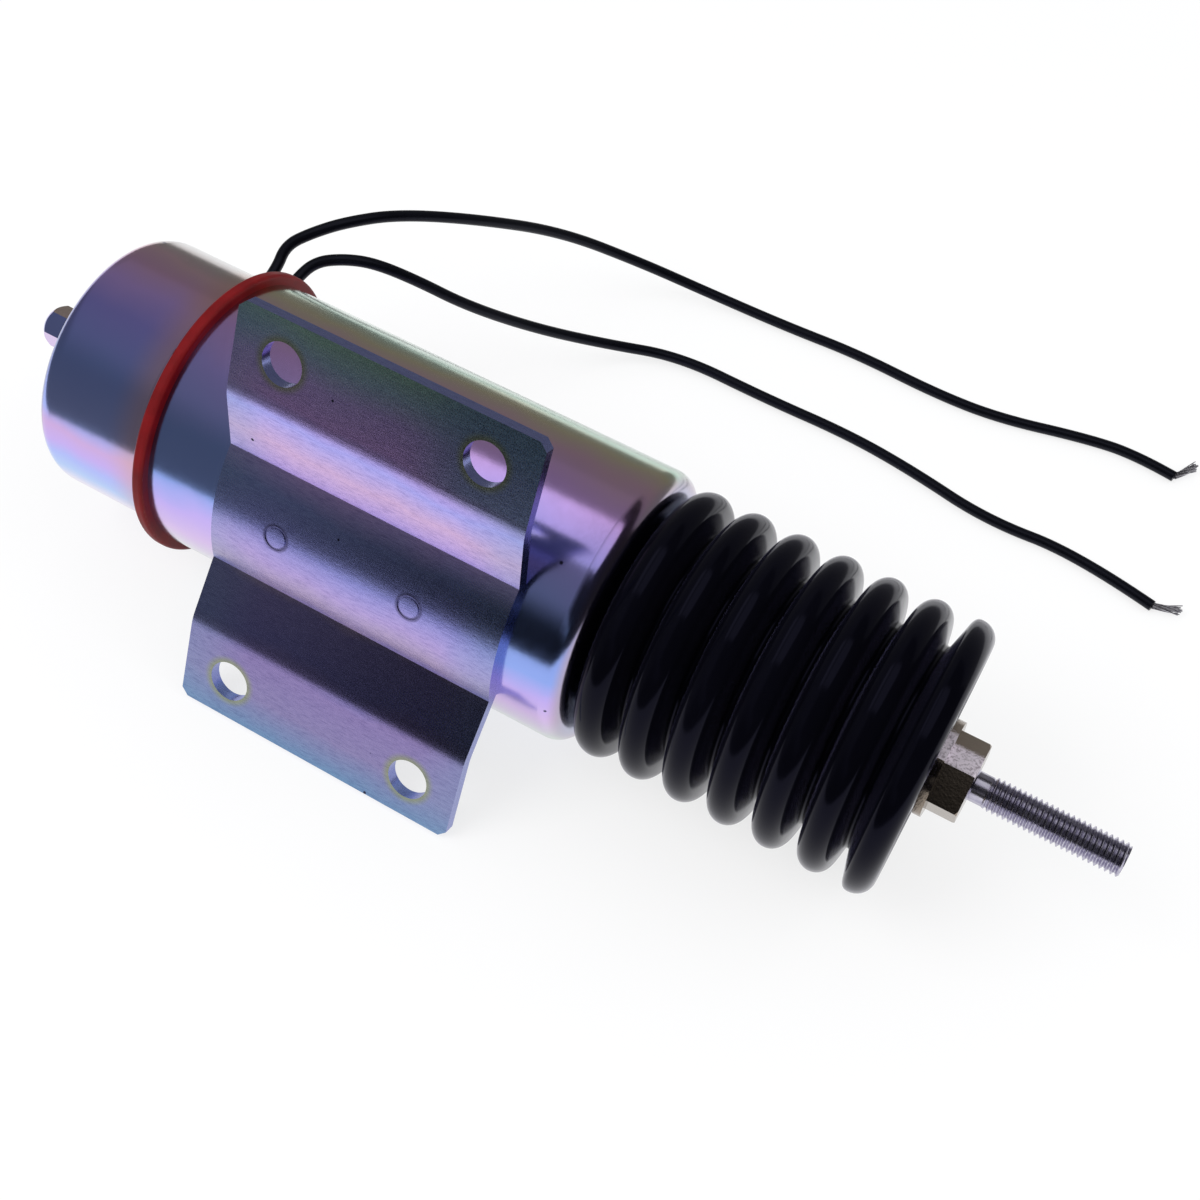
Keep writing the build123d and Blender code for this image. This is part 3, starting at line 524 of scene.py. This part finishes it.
def wound_copper():
    """Enamelled copper wire, wound: its turns show as even grooves across the coil, with painted shade
    darkening each groove. The bands of a wave texture are 0.31 apart at a scale of 1."""
    material, tree, shader = new_finish("enamelled_copper_wire", Metallic=1.0)
    _, centred, _ = about_axis(tree)
    turns = add(tree, "TexWave", {"bands_direction": "X", "wave_profile": "SIN"},
                {"Vector": centred, "Scale": 0.31 / COIL_WIRE, "Distortion": 0.4})
    wave = turns.outputs["Fac"]
    # Painted shade: dark brown in the grooves between the turns, bright copper on their crowns
    tone = add(tree, "ValToRGB", None, {0: wave}, stops=[(0.1, "#5c2f18"), (0.7, "#c67b4a")])
    lay_finish(tree, shader, tone.outputs[0], wave, (0.3, 0.3), wave, 0.8, 0.4 * MM)
    return material


finishes = {
    # Red sheet rubber, cut out: satin, with a little mottle like lint
    "gasket_rubber": moulded("red_gasket_rubber", "#7e0a10", "#5e050a", 0.46, 1.43 * MM, 0.2,
                             **{"Specular IOR Level": 0.18}),
    # Black neoprene, dip moulded: deep black and wet-looking, with cool highlights and rims
    "boot_rubber": moulded("black_neoprene_dipped", "#06060c", "#040408", 0.13, 3.85 * MM, 0.03,
                           **{"Specular IOR Level": 0.12, "Specular Tint": srgb("#c4c4ff"),
                              "Sheen Weight": 0.12, "Sheen Roughness": 0.3,
                              "Sheen Tint": srgb("#a29ed4")}),
    # Bright drawn steel with a rolled thread: crests are burnished
    "stud_steel": worked_metal("rolled_bright_steel", "#cbc8d6", "#a39fb6", 0.22, 1.11 * MM, 0.2, 0.1),
    # Barrel-nickelled steel over a rough blank: warm grey with fine pitting
    "hex_nickel": pitted_nickel(),
    # Turned soft iron, uncoated: a dull grey with fine tool marks round it
    "soft_iron": worked_metal("turned_soft_iron", "#a3a3a6", "#838488", 0.34, 1.43 * MM, 3.0),
    # Drawn brass tube: yellow and bright, with streaks along it
    "liner_brass": worked_metal("drawn_brass", "#d6b56c", "#b8964c", 0.24, 1.25 * MM, 0.15),
    "winding_copper": wound_copper(),
    # Natural nylon, injection moulded: creamy and half dull
    "bobbin_nylon": moulded("natural_nylon", "#dcd8c8", "#cfcab8", 0.45),
    # Varnished insulating paper: straw-coloured and a little uneven
    "wrap_paper": moulded("varnished_paper", "#c4b68a", "#a99a6c", 0.4, 2 * MM, 0.3),
    # Pressed phenolic sheet: brown with a low gloss
    "board_phenolic": moulded("phenolic_sheet", "#6a3d22", "#54301b", 0.38, 1.67 * MM, 0.2),
    # Oiled spring wire: dark grey and slightly glossy
    "spring_steel": worked_metal("oiled_spring_steel", "#8d9095", "#6e7177", 0.3, 1.11 * MM),
    # Stamped brass: bright yellow, a little scuffed
    "contact_brass": worked_metal("stamped_brass", "#d9ba70", "#bf9d54", 0.28, 1.11 * MM),
    # Moulded black rubber of the grommet: dull
    "grommet_rubber": moulded("black_grommet_rubber", "#14151a", "#0c0c10", 0.5, 1.25 * MM, 0.2),
    # Extruded vinyl insulation, black and slightly glossy
    "lead_insulation": moulded("extruded_black_vinyl", "#08090f", "#05060a", 0.32, 1.43 * MM, 0.08,
                               **{"Specular IOR Level": 0.25, "Specular Tint": srgb("#d2d4f4")}),
    # Tinned copper wires: pale grey and bright
    "tinned_copper": worked_metal("tinned_copper_wire", "#d6d4da", "#aaa8b0", 0.3, 0.667 * MM),
}
node_finishes = {
    "body_shell": plated_steel("zinc_plated_drawn_can", CAN_FILM),
    "rear_cap": plated_steel("zinc_plated_drawn_cap", CAP_FILM, CAP_MOUTH, ends=("#d9c3e6", "#5e423f")),
    "cap_washer": plated_steel("zinc_plated_washer", CAP_FILM, roughness=0.25),
    "cap_nut": plated_steel("zinc_plated_nut", CAN_FILM, roughness=0.22, ends=("#c4cdf0", "#c9b4e4")),
    "mounting_bracket": bracket_steel(),
}


def dress_frame():
    """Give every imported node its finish."""
    for part in frame["record"]["subparts"]:
        node = frame["nodes"][part["node"]]
        finish = node_finishes.get(part["node"], finishes.get(part["material_slot"]))
        node.data.materials.clear()
        node.data.materials.append(finish)


def mesh_object(name, mesh, finish):
    """A new object that shows a mesh in one finish."""
    mesh.materials.clear()
    mesh.materials.append(finish)
    piece = bpy.data.objects.new(name, mesh)
    bpy.context.scene.collection.objects.link(piece)
    return piece


def smooth_with_edges(mesh, degrees=SHARP_EDGE):
    """Smooth shading that keeps edges sharper than the given angle crisp."""
    work = bmesh.new()
    work.from_mesh(mesh)
    bmesh.ops.remove_doubles(work, verts=work.verts, dist=MERGE_DISTANCE)
    bmesh.ops.holes_fill(work, edges=[e for e in work.edges if e.is_boundary], sides=0)
    bmesh.ops.recalc_face_normals(work, faces=work.faces)
    for face in work.faces:
        face.smooth = True
    for edge in work.edges:
        edge.smooth = len(edge.link_faces) == 2 and edge.calc_face_angle(0.0) < math.radians(degrees)
    work.to_mesh(mesh)
    work.free()


def lathe(name, loop, steps, finish):
    """Turn a closed loop of (x, radius) points about the solenoid's axis."""
    work = bmesh.new()
    rows = []
    for x, radius in loop:
        turns = [2 * math.pi * i / steps for i in range(steps)]
        rows.append([work.verts.new((x, AXIS.y + radius * math.sin(t), AXIS.z + radius * math.cos(t)))
                     for t in turns])
    for row, after in zip(rows, rows[1:] + rows[:1]):
        for i in range(steps):
            j = (i + 1) % steps
            work.faces.new((row[i], row[j], after[j], after[i]))
    mesh = bpy.data.meshes.new(name)
    work.to_mesh(mesh)
    work.free()
    smooth_with_edges(mesh)
    return mesh_object(name, mesh, finish)


def arc(x, radius, size, start, end, steps=BOOT_ARC_STEPS):
    """Points on an arc about (x, radius); 0 degrees points forward and 90 outwards."""
    angles = [math.radians(start + (end - start) * i / steps) for i in range(steps + 1)]
    return [(x + size * math.cos(a), radius + size * math.sin(a)) for a in angles]


def wall_slope(ridge):
    """How far a wall slopes from straight out, in degrees, between a ridge's bend and a valley's."""
    drop = BOOT_RADIUS - ridge - VALLEY_RADIUS - VALLEY_BEND
    span = math.hypot(RIDGE_PITCH / 2, drop)
    return math.degrees(math.acos((ridge + VALLEY_BEND) / span) - math.atan2(drop, RIDGE_PITCH / 2))


def boot_skin(ridges, depth):
    """One face of the boot's wall, from its first ridge to its front."""
    behind = [RIDGE_RADIUS] + [RIDGE_BEND] * (len(ridges) - 2) + [LAST_RIDGE_BEND]
    dish = math.degrees(math.acos((BOOT_END - depth - ridges[-1]) / (RIDGE_RADIUS - depth)))
    points = []
    for i, x in enumerate(ridges):
        last = i == len(ridges) - 1
        ahead = RIDGE_RADIUS if last else RIDGE_BEND
        start = 180 - wall_slope(behind[i]) if i else 180
        end = -dish if last else wall_slope(ahead)
        points += arc(x, BOOT_RADIUS - behind[i], behind[i] - depth, start, 90)
        points += arc(x, BOOT_RADIUS - ahead, ahead - depth, 90, end)[1:]
        if not last:
            points += arc(x + RIDGE_PITCH / 2, VALLEY_RADIUS + VALLEY_BEND, VALLEY_BEND + depth,
                          180 + end, 360 - wall_slope(behind[i + 1]))
    return points


def lean_front(boot, valley):
    """The soft front ridge leans back a little on the far side, where nothing holds its edge."""
    for vert in boot.data.vertices:
        spoke = vert.co - AXIS
        away = BOOT_RADIUS + spoke.dot(BOOT_LEAN_WAY)
        spoke.x = 0
        past_valley = min(max((vert.co.x - valley) / RIDGE_RADIUS, 0), 1)
        past_washer = min(max((spoke.length - BOOT_LEAN_RADIUS) / RIDGE_RADIUS, 0), 1)
        vert.co.x -= BOOT_LEAN * away * past_valley * past_washer


def make_boot():
    """The bellows boot as one closed, folded skin between the can and the hex collar."""
    first = CAN_FRONT + FIRST_RIDGE_GAP
    ridges = [first + RIDGE_PITCH * i for i in range(RIDGE_COUNT)]
    rear = CAN_FRONT + BOOT_BEAD_PLAY
    side = ridges[0] - RIDGE_RADIUS
    level = BOOT_RADIUS - RIDGE_RADIUS
    outside = boot_skin(ridges, 0.0)
    inside = boot_skin(ridges, BOOT_WALL)
    bead = [(side + BOOT_WALL, level), (side + BOOT_WALL, BOOT_BEAD_RADIUS), (rear, BOOT_BEAD_RADIUS),
            (rear, VALLEY_RADIUS - BOOT_BEAD_BEVEL), (side, VALLEY_RADIUS)]
    neck = [(BOOT_END, BOOT_NECK_RADIUS), (BOOT_END - BOOT_WALL, BOOT_NECK_RADIUS)]
    loop = bead + outside + neck + inside[:0:-1]
    boot = lathe("bellows_boot_skin", loop, BOOT_TURN_STEPS, finishes["boot_rubber"])
    lean_front(boot, ridges[-1] - RIDGE_PITCH / 2)
    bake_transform(boot)
    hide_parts("bellows_boot")


def node_tree_for(name, sizes):
    """An empty geometry tree with named sizes; returns the tree, its input and its output node."""
    tree = bpy.data.node_groups.new(name, "GeometryNodeTree")
    tree.interface.new_socket("Geometry", in_out="OUTPUT", socket_type="NodeSocketGeometry")
    for label, value in sizes.items():
        kind = "NodeSocketInt" if isinstance(value, int) else "NodeSocketFloat"
        tree.interface.new_socket(label, in_out="INPUT", socket_type=kind)
    return tree, tree.nodes.new("NodeGroupInput"), tree.nodes.new("NodeGroupOutput")


def end_tree(tree, shape, finish, result):
    """Make a tree's shape real and give it its finish."""
    real = add(tree, "GeometryNodeRealizeInstances", None, {"Geometry": shape})
    shown = add(tree, "GeometryNodeSetMaterial", None, {"Geometry": real, "Material": finish})
    tree.links.new(shown.outputs[0], result.inputs[0])
    return tree


def grown_mesh(name, tree, sizes):
    """Run a geometry tree with its sizes and return the plain mesh that it makes."""
    holder = bpy.data.objects.new(name, bpy.data.meshes.new(name + "_seed"))
    bpy.context.scene.collection.objects.link(holder)
    modifier = holder.modifiers.new(name, "NODES")
    modifier.node_group = tree
    for item in tree.interface.items_tree:
        if item.in_out == "INPUT":
            modifier[item.identifier] = sizes[item.name]
    graph = bpy.context.evaluated_depsgraph_get()
    mesh = bpy.data.meshes.new_from_object(holder.evaluated_get(graph), depsgraph=graph)
    bpy.data.objects.remove(holder)
    return mesh


def thread_tree(sizes, finish):
    """A grid rolled into a tube whose radius rises and falls once a pitch, a turn behind each turn."""
    tree, given, result = node_tree_for("rolled_thread", sizes)
    size = given.outputs
    grid = add(tree, "GeometryNodeMeshGrid", None,
               {"Vertices X": size["Rows"], "Vertices Y": size["Columns"]})
    spot = add(tree, "SeparateXYZ", None, {0: add(tree, "GeometryNodeInputPosition").outputs[0]})
    along = add(tree, "Math", "ADD", {0: spot.outputs["X"], 1: 0.5})
    around = add(tree, "Math", "ADD", {0: spot.outputs["Y"], 1: 0.5})
    way = add(tree, "Math", "MULTIPLY", {0: along, 1: size["Length"]})
    turns = add(tree, "Math", "DIVIDE", {0: way, 1: size["Pitch"]})
    phase = add(tree, "Math", "ADD", {0: turns, 1: around})
    part = add(tree, "Math", "PINGPONG", {0: phase, 1: 0.5})
    flank = add(tree, "MapRange", None,
                {"Value": part, "From Min": THREAD_CREST_SHARE, "From Max": THREAD_ROOT_SHARE})
    lift = add(tree, "Math", "MULTIPLY", {0: flank, 1: size["Depth"]})
    cut = add(tree, "Math", "SUBTRACT", {0: size["Crest Radius"], 1: lift})
    # The first turns run out of the neck at a shallow slope and the last one is bevelled
    start_limit = add(tree, "Math", "MULTIPLY_ADD",
                      {0: way, 1: size["Run Out"], 2: size["Neck Radius"]})
    rest = add(tree, "Math", "SUBTRACT", {0: size["Length"], 1: way})
    bevel_foot = add(tree, "Math", "SUBTRACT", {0: size["Crest Radius"], 1: size["End Bevel"]})
    end_limit = add(tree, "Math", "ADD", {0: rest, 1: bevel_foot})
    lower = add(tree, "Math", "MINIMUM", {0: cut, 1: start_limit})
    radius = add(tree, "Math", "MINIMUM", {0: lower, 1: end_limit})
    turn = add(tree, "Math", "MULTIPLY", {0: around, 1: 2 * math.pi})
    sine = add(tree, "Math", "SINE", {0: turn})
    cosine = add(tree, "Math", "COSINE", {0: turn})
    y = add(tree, "Math", "MULTIPLY", {0: sine, 1: radius})
    z = add(tree, "Math", "MULTIPLY", {0: cosine, 1: radius})
    place = add(tree, "CombineXYZ", None, {0: way, 1: y, 2: z})
    tube = add(tree, "GeometryNodeSetPosition", None,
               {"Geometry": grid.outputs["Mesh"], "Position": place})
    return end_tree(tree, tube, finish, result)


def make_drive_stud():
    """The drive stud with its shoulder and neck turned, and its thread rolled."""
    length = STUD_END - THREAD_START
    sizes = {
        "Rows": round(length / THREAD_PITCH * THREAD_STEPS_A_TURN) + 1,
        "Columns": THREAD_STEPS_AROUND + 1,
        "Length": length,
        "Pitch": THREAD_PITCH,
        "Depth": THREAD_DEPTH,
        "Crest Radius": THREAD_CREST_RADIUS,
        "Neck Radius": NECK_RADIUS,
        "Run Out": THREAD_RUN_OUT,
        "End Bevel": THREAD_END_BEVEL,
    }
    thread = grown_mesh("drive_stud_thread", thread_tree(sizes, finishes["stud_steel"]), sizes)
    thread.transform(Matrix.Translation((THREAD_START, AXIS.y, AXIS.z)))
    smooth_with_edges(thread, SHARP_THREAD)
    piece = mesh_object("drive_stud_thread", thread, finishes["stud_steel"])
    plunger_front = STUD_START + SCREWED_DEPTH
    shoulder_end = plunger_front + SHOULDER_LENGTH
    neck_end = THREAD_START + THREAD_OVERLAP
    loop = [(STUD_START, POLE_RADIUS), (STUD_START, SCREWED_RADIUS), (plunger_front, SCREWED_RADIUS),
            (plunger_front, SHOULDER_RADIUS), (shoulder_end, SHOULDER_RADIUS),
            (shoulder_end, THREAD_CREST_RADIUS), (HEX_FRONT, THREAD_CREST_RADIUS),
            (HEX_FRONT + NECK_STEP, NECK_RADIUS), (neck_end, NECK_RADIUS), (neck_end, POLE_RADIUS)]
    turned = lathe("drive_stud_turned", loop, STUD_TURN_STEPS, finishes["stud_steel"])
    for part in (turned, piece):
        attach(part, "plunger")
        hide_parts("drive_stud")


def spring_tree(sizes, finish):
    """A round wire along a spiral."""
    tree, given, result = node_tree_for("coil_spring", sizes)
    size = given.outputs
    path = add(tree, "GeometryNodeCurveSpiral", None,
               {"Resolution": STEPS_A_TURN, "Rotations": size["Turns"],
                "Start Radius": size["Mean Radius"], "End Radius": size["Mean Radius"],
                "Height": size["Length"]})
    section = add(tree, "GeometryNodeCurvePrimitiveCircle", None,
                  {"Resolution": SPRING_WIRE_SIDES, "Radius": size["Wire Radius"]})
    wire = add(tree, "GeometryNodeCurveToMesh", None,
               {"Curve": path, "Profile Curve": section, "Fill Caps": True})
    return end_tree(tree, wire, finish, result)


def make_spring(node, turns, wire_radius):
    """A spring's wire between the ends of its node, with the node's corners and middle."""
    low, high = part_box(node)
    middle = (low + high) / 2
    sizes = {
        "Turns": float(turns),
        "Mean Radius": (high.z - low.z) / 2 - wire_radius,
        "Length": high.x - low.x - 2 * wire_radius,
        "Wire Radius": wire_radius,
    }
    mesh = grown_mesh(node + "_wire", spring_tree(sizes, finishes["spring_steel"]), sizes)
    along_x = Matrix.Rotation(math.pi / 2, 4, "Y")
    mesh.transform(Matrix.Translation((low.x + wire_radius, middle.y, middle.z)) @ along_x)
    smooth_with_edges(mesh)
    spring = mesh_object(node + "_wire", mesh, finishes["spring_steel"])
    return spring, low, high, middle


def make_springs():
    """The return spring and the pin spring, each a wire in place of its node."""
    spring, low, high, middle = make_spring("return_spring", RETURN_SPRING_TURNS, RETURN_WIRE_RADIUS)
    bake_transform(spring)
    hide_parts("return_spring")
    spring, low, high, middle = make_spring("pin_spring", PIN_SPRING_TURNS, PIN_WIRE_RADIUS)
    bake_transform(spring)
    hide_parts("pin_spring")


def strand_tree(sizes, finish):
    """Fine wires copied from one line, laid in a twisted bundle that opens towards its end."""
    tree, given, result = node_tree_for("bare_strands", sizes)
    size = given.outputs
    tip = add(tree, "CombineXYZ", None, {2: size["Length"]})
    line = add(tree, "GeometryNodeCurvePrimitiveLine", None, {"End": tip})
    steps = add(tree, "GeometryNodeResampleCurve", None, {"Curve": line, "Count": STRAND_STEPS})
    many = add(tree, "GeometryNodeDuplicateElements", {"domain": "SPLINE"},
               {"Geometry": steps, "Amount": size["Count"]})
    number = many.outputs["Duplicate Index"]
    along = add(tree, "GeometryNodeSplineParameter").outputs["Factor"]
    filled = add(tree, "Math", "DIVIDE", {0: number, 1: size["Count"]})
    ring = add(tree, "Math", "SQRT", {0: filled})
    chance = add(tree, "FunctionNodeRandomValue", {"data_type": "FLOAT"},
                 {"Min": 0.2, "Max": 1.0, "ID": number, "Seed": 7})
    opened = add(tree, "Math", "POWER", {0: along, 1: STRAND_OPENING})
    splay = add(tree, "Math", "MULTIPLY", {0: opened, 1: chance.outputs[1]})
    spread = add(tree, "Math", "MULTIPLY_ADD", {0: splay, 1: size["Splay"], 2: 1.0})
    width = add(tree, "Math", "MULTIPLY", {0: spread, 1: size["Bundle Radius"]})
    radius = add(tree, "Math", "MULTIPLY", {0: width, 1: ring})
    lay = add(tree, "Math", "MULTIPLY", {0: number, 1: STRAND_LAY_ANGLE})
    turn = add(tree, "Math", "MULTIPLY_ADD", {0: along, 1: size["Twist"], 2: lay})
    cosine = add(tree, "Math", "COSINE", {0: turn})
    sine = add(tree, "Math", "SINE", {0: turn})
    x = add(tree, "Math", "MULTIPLY", {0: cosine, 1: radius})
    y = add(tree, "Math", "MULTIPLY", {0: sine, 1: radius})
    short = add(tree, "FunctionNodeRandomValue", {"data_type": "FLOAT"},
                {"Min": 0.8, "Max": 1.0, "ID": number, "Seed": 3})
    reach = add(tree, "Math", "MULTIPLY", {0: along, 1: short.outputs[1]})
    z = add(tree, "Math", "MULTIPLY", {0: reach, 1: size["Length"]})
    place = add(tree, "CombineXYZ", None, {0: x, 1: y, 2: z})
    laid = add(tree, "GeometryNodeSetPosition", None, {"Geometry": many, "Position": place})
    section = add(tree, "GeometryNodeCurvePrimitiveCircle", None,
                  {"Resolution": WIRE_SIDES, "Radius": size["Wire Radius"]})
    wires = add(tree, "GeometryNodeCurveToMesh", None,
                {"Curve": laid, "Profile Curve": section, "Fill Caps": True})
    return end_tree(tree, wires, finish, result)


def make_strands(lead, node):
    """The bare end of a lead."""
    foot, tip = Vector(LEAD_ROUTES[lead][-1]), STRAND_ENDS[lead]
    sizes = {
        "Count": STRAND_COUNT,
        "Length": (tip - foot).length,
        "Wire Radius": STRAND_RADIUS,
        "Bundle Radius": STRAND_BUNDLE_RADIUS,
        "Splay": STRAND_SPLAY,
        "Twist": STRAND_TWIST,
    }
    mesh = grown_mesh(node + "_wires", strand_tree(sizes, finishes["tinned_copper"]), sizes)
    mesh.transform(Matrix.Translation(foot) @ (tip - foot).to_track_quat("Z", "Y").to_matrix().to_4x4())
    smooth_with_edges(mesh, SHARP_WIRE)
    strands = mesh_object(node + "_wires", mesh, finishes["tinned_copper"])
    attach(strands, "housing")
    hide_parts(node)
    return strands


def make_lead(name):
    """A lead as one smooth round wire along its route, with its bare strands."""
    curve = bpy.data.curves.new(name + "_insulation", "CURVE")
    curve.dimensions = "3D"
    curve.bevel_depth = LEAD_DIAMETER / 2
    curve.bevel_resolution = LEAD_SIDE_STEPS
    curve.resolution_u = LEAD_STEPS
    curve.use_fill_caps = True
    spline = curve.splines.new("NURBS")
    route = LEAD_ROUTES[name]
    spline.points.add(len(route) - 1)
    for point, place in zip(spline.points, route):
        point.co = (*place, 1.0)
    spline.order_u = 3
    spline.use_endpoint_u = True
    curve.materials.append(finishes["lead_insulation"])
    lead = bpy.data.objects.new(name + "_insulation", curve)
    bpy.context.scene.collection.objects.link(lead)
    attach(lead, "housing")
    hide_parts(name)
    strands = make_strands(name, name.replace("lead", "strands"))


def make_camera():
    """The camera at the photograph's place, with its slight roll."""
    data = bpy.data.cameras.new("photograph_angle")
    data.lens = LENS
    data.sensor_width = SENSOR
    data.clip_start = NEAREST_SEEN
    camera = bpy.data.objects.new("photograph_angle", data)
    turn = (CAMERA_AIM - CAMERA_PLACE).to_track_quat("-Z", "Y").to_matrix().to_4x4()
    camera.matrix_world = Matrix.Translation(CAMERA_PLACE) @ turn @ Matrix.Rotation(CAMERA_ROLL, 4, "Z")
    bpy.context.scene.collection.objects.link(camera)
    bpy.context.scene.camera = camera


def plain_board(name, corners, finish):
    """A flat four-sided board for the studio."""
    mesh = bpy.data.meshes.new(name)
    mesh.from_pydata(corners, [], [(0, 1, 2, 3)])
    board = mesh_object(name, mesh, finish)
    return board


def glowing(name, strength=1.0, x_range=None, stops=None, top=None):
    """A studio surface that shows only as a reflection: plain, or shaded along its length by stops
    over x_range, and fading into another grey between two heights where top names them."""
    material, tree = blank_material(name)
    light = add(tree, "Emission", None, {"Strength": strength})
    place = add(tree, "TexCoord").outputs["Object"]
    spot = add(tree, "SeparateXYZ", None, {0: place}).outputs
    if stops:
        share = add(tree, "MapRange", None,
                    {"Value": spot["X"], "From Min": x_range[0], "From Max": x_range[1]})
        shade = add(tree, "ValToRGB", None, {0: share}, stops=stops).outputs[0]
        if top:
            low, high, grey = top
            lift = add(tree, "MapRange", SMOOTH,
                       {"Value": spot["Z"], "From Min": low, "From Max": high})
            shade = add(tree, "Mix", COLOURS,
                        {SHARE: lift, UNDER: shade, OVER: srgb(grey)}).outputs[MIXED]
        tree.links.new(shade, light.inputs["Color"])
    add(tree, "OutputMaterial", None, {"Surface": light})
    return material


def only_reflected(piece):
    """A studio surface that bright metal mirrors, and that neither lights nor shades anything."""
    piece.visible_camera = False
    piece.visible_diffuse = False
    piece.visible_shadow = False


def seen_ray(tree):
    """1 where a surface is seen, straight or in a reflection, and 0 where it only gives light."""
    path = add(tree, "LightPath")
    seen = add(tree, "Math", "MAXIMUM",
               {0: path.outputs["Is Camera Ray"], 1: path.outputs["Is Glossy Ray"]})
    return add(tree, "Math", "MAXIMUM", {0: seen, 1: path.outputs["Is Transmission Ray"]}).outputs[0]


def white_paper():
    """Backlit white paper: as good as white where it is seen, with a faint shadow under the object."""
    material, tree = blank_material("backlit_white_paper")
    paper = add(tree, "BsdfDiffuse", None, {"Color": (0.93, 0.93, 0.935, 1.0)})
    lit = add(tree, "Emission", None, {"Strength": 1.0})
    share = add(tree, "Math", "MULTIPLY", {0: seen_ray(tree), 1: 0.75})
    both = add(tree, "MixShader", None, {0: share, 1: paper, 2: lit})
    add(tree, "OutputMaterial", None, {"Surface": both})
    return material


def upright_card(name, middle, facing, height, finish):
    """A card that stands on the floor and is only seen as a reflection."""
    side = Vector((-facing.y, facing.x, 0)) * CARD_HALF_WIDTH
    foot = [middle - side, middle + side]
    lift = Vector((0, 0, height))
    only_reflected(plain_board(name, [foot[0], foot[1], foot[1] + lift, foot[0] + lift], finish))


def make_tent():
    """A dome of grey cloth round the object, dark on the stud's side."""
    work = bmesh.new()
    bmesh.ops.create_uvsphere(work, u_segments=48, v_segments=24, radius=TENT_RADIUS)
    bmesh.ops.delete(work, geom=[v for v in work.verts if v.co.z < -0.01], context="VERTS")
    mesh = bpy.data.meshes.new("light_tent")
    work.to_mesh(mesh)
    work.free()
    cloth = glowing("grey_tent_cloth", 1.0, (-TENT_RADIUS, TENT_RADIUS), TENT_SHADES)
    tent = mesh_object("light_tent", mesh, cloth)
    only_reflected(tent)


def make_air():
    """White air behind everything, which lights the object a little less than it shows."""
    world = bpy.data.worlds.new("studio_air")
    bpy.context.scene.world = world
    world.use_nodes = True
    tree = world.node_tree
    tree.nodes.clear()
    backdrop = add(tree, "Background", None, {"Color": (1, 1, 1, 1), "Strength": 0.97})
    fill = add(tree, "Background", None, {"Color": (0.97, 0.98, 1.0, 1), "Strength": 0.78})
    both = add(tree, "MixShader", None, {0: seen_ray(tree), 1: fill, 2: backdrop})
    add(tree, "OutputWorld", None, {"Surface": both})


def make_studio():
    """A white floor, a soft box overhead, a dark card in front and a grey one behind, a light tent,
    white air and two lamps, as for shiny metal."""
    corners = [(-1, -1), (1, -1), (1, 1), (-1, 1)]
    floor = [(x * FLOOR_HALF, y * FLOOR_HALF, FLOOR_LEVEL) for x, y in corners]
    plain_board("studio_floor", floor, white_paper())

    (left, right), (near, far) = SOFTBOX_X, SOFTBOX_Y
    edge = [(left, near), (left, far), (right, far), (right, near)]
    only_reflected(plain_board("overhead_softbox", [(x, y, SOFTBOX_HEIGHT) for x, y in edge],
                               glowing("softbox_cloth", 1.1, SOFTBOX_X, SOFTBOX_SHADES)))

    upright_card("dark_card", DARK_CARD_PLACE, DARK_CARD_FACING, DARK_CARD_HEIGHT,
                 glowing("black_card", 1.0, DARK_CARD_SHADED, DARK_CARD_SHADES, DARK_CARD_FADE))
    upright_card("rear_card", REAR_CARD_PLACE, REAR_CARD_FACING, REAR_CARD_HEIGHT,
                 glowing("grey_card", 0.2))
    make_tent()
    make_air()

    for name, (place, size, power) in LAMPS.items():
        data = bpy.data.lights.new(name, "AREA")
        data.size = size
        data.energy = power
        lamp = bpy.data.objects.new(name, data)
        lamp.location = place
        lamp.rotation_euler = (-Vector(place)).to_track_quat("-Z", "Y").to_euler()
        lamp.visible_glossy = False
        bpy.context.scene.collection.objects.link(lamp)


bpy.context.scene.view_settings.view_transform = "Standard"
make_camera()
dress_frame()
for lead_name in LEAD_ROUTES:
    make_lead(lead_name)
make_boot()
make_drive_stud()
make_springs()
make_studio()
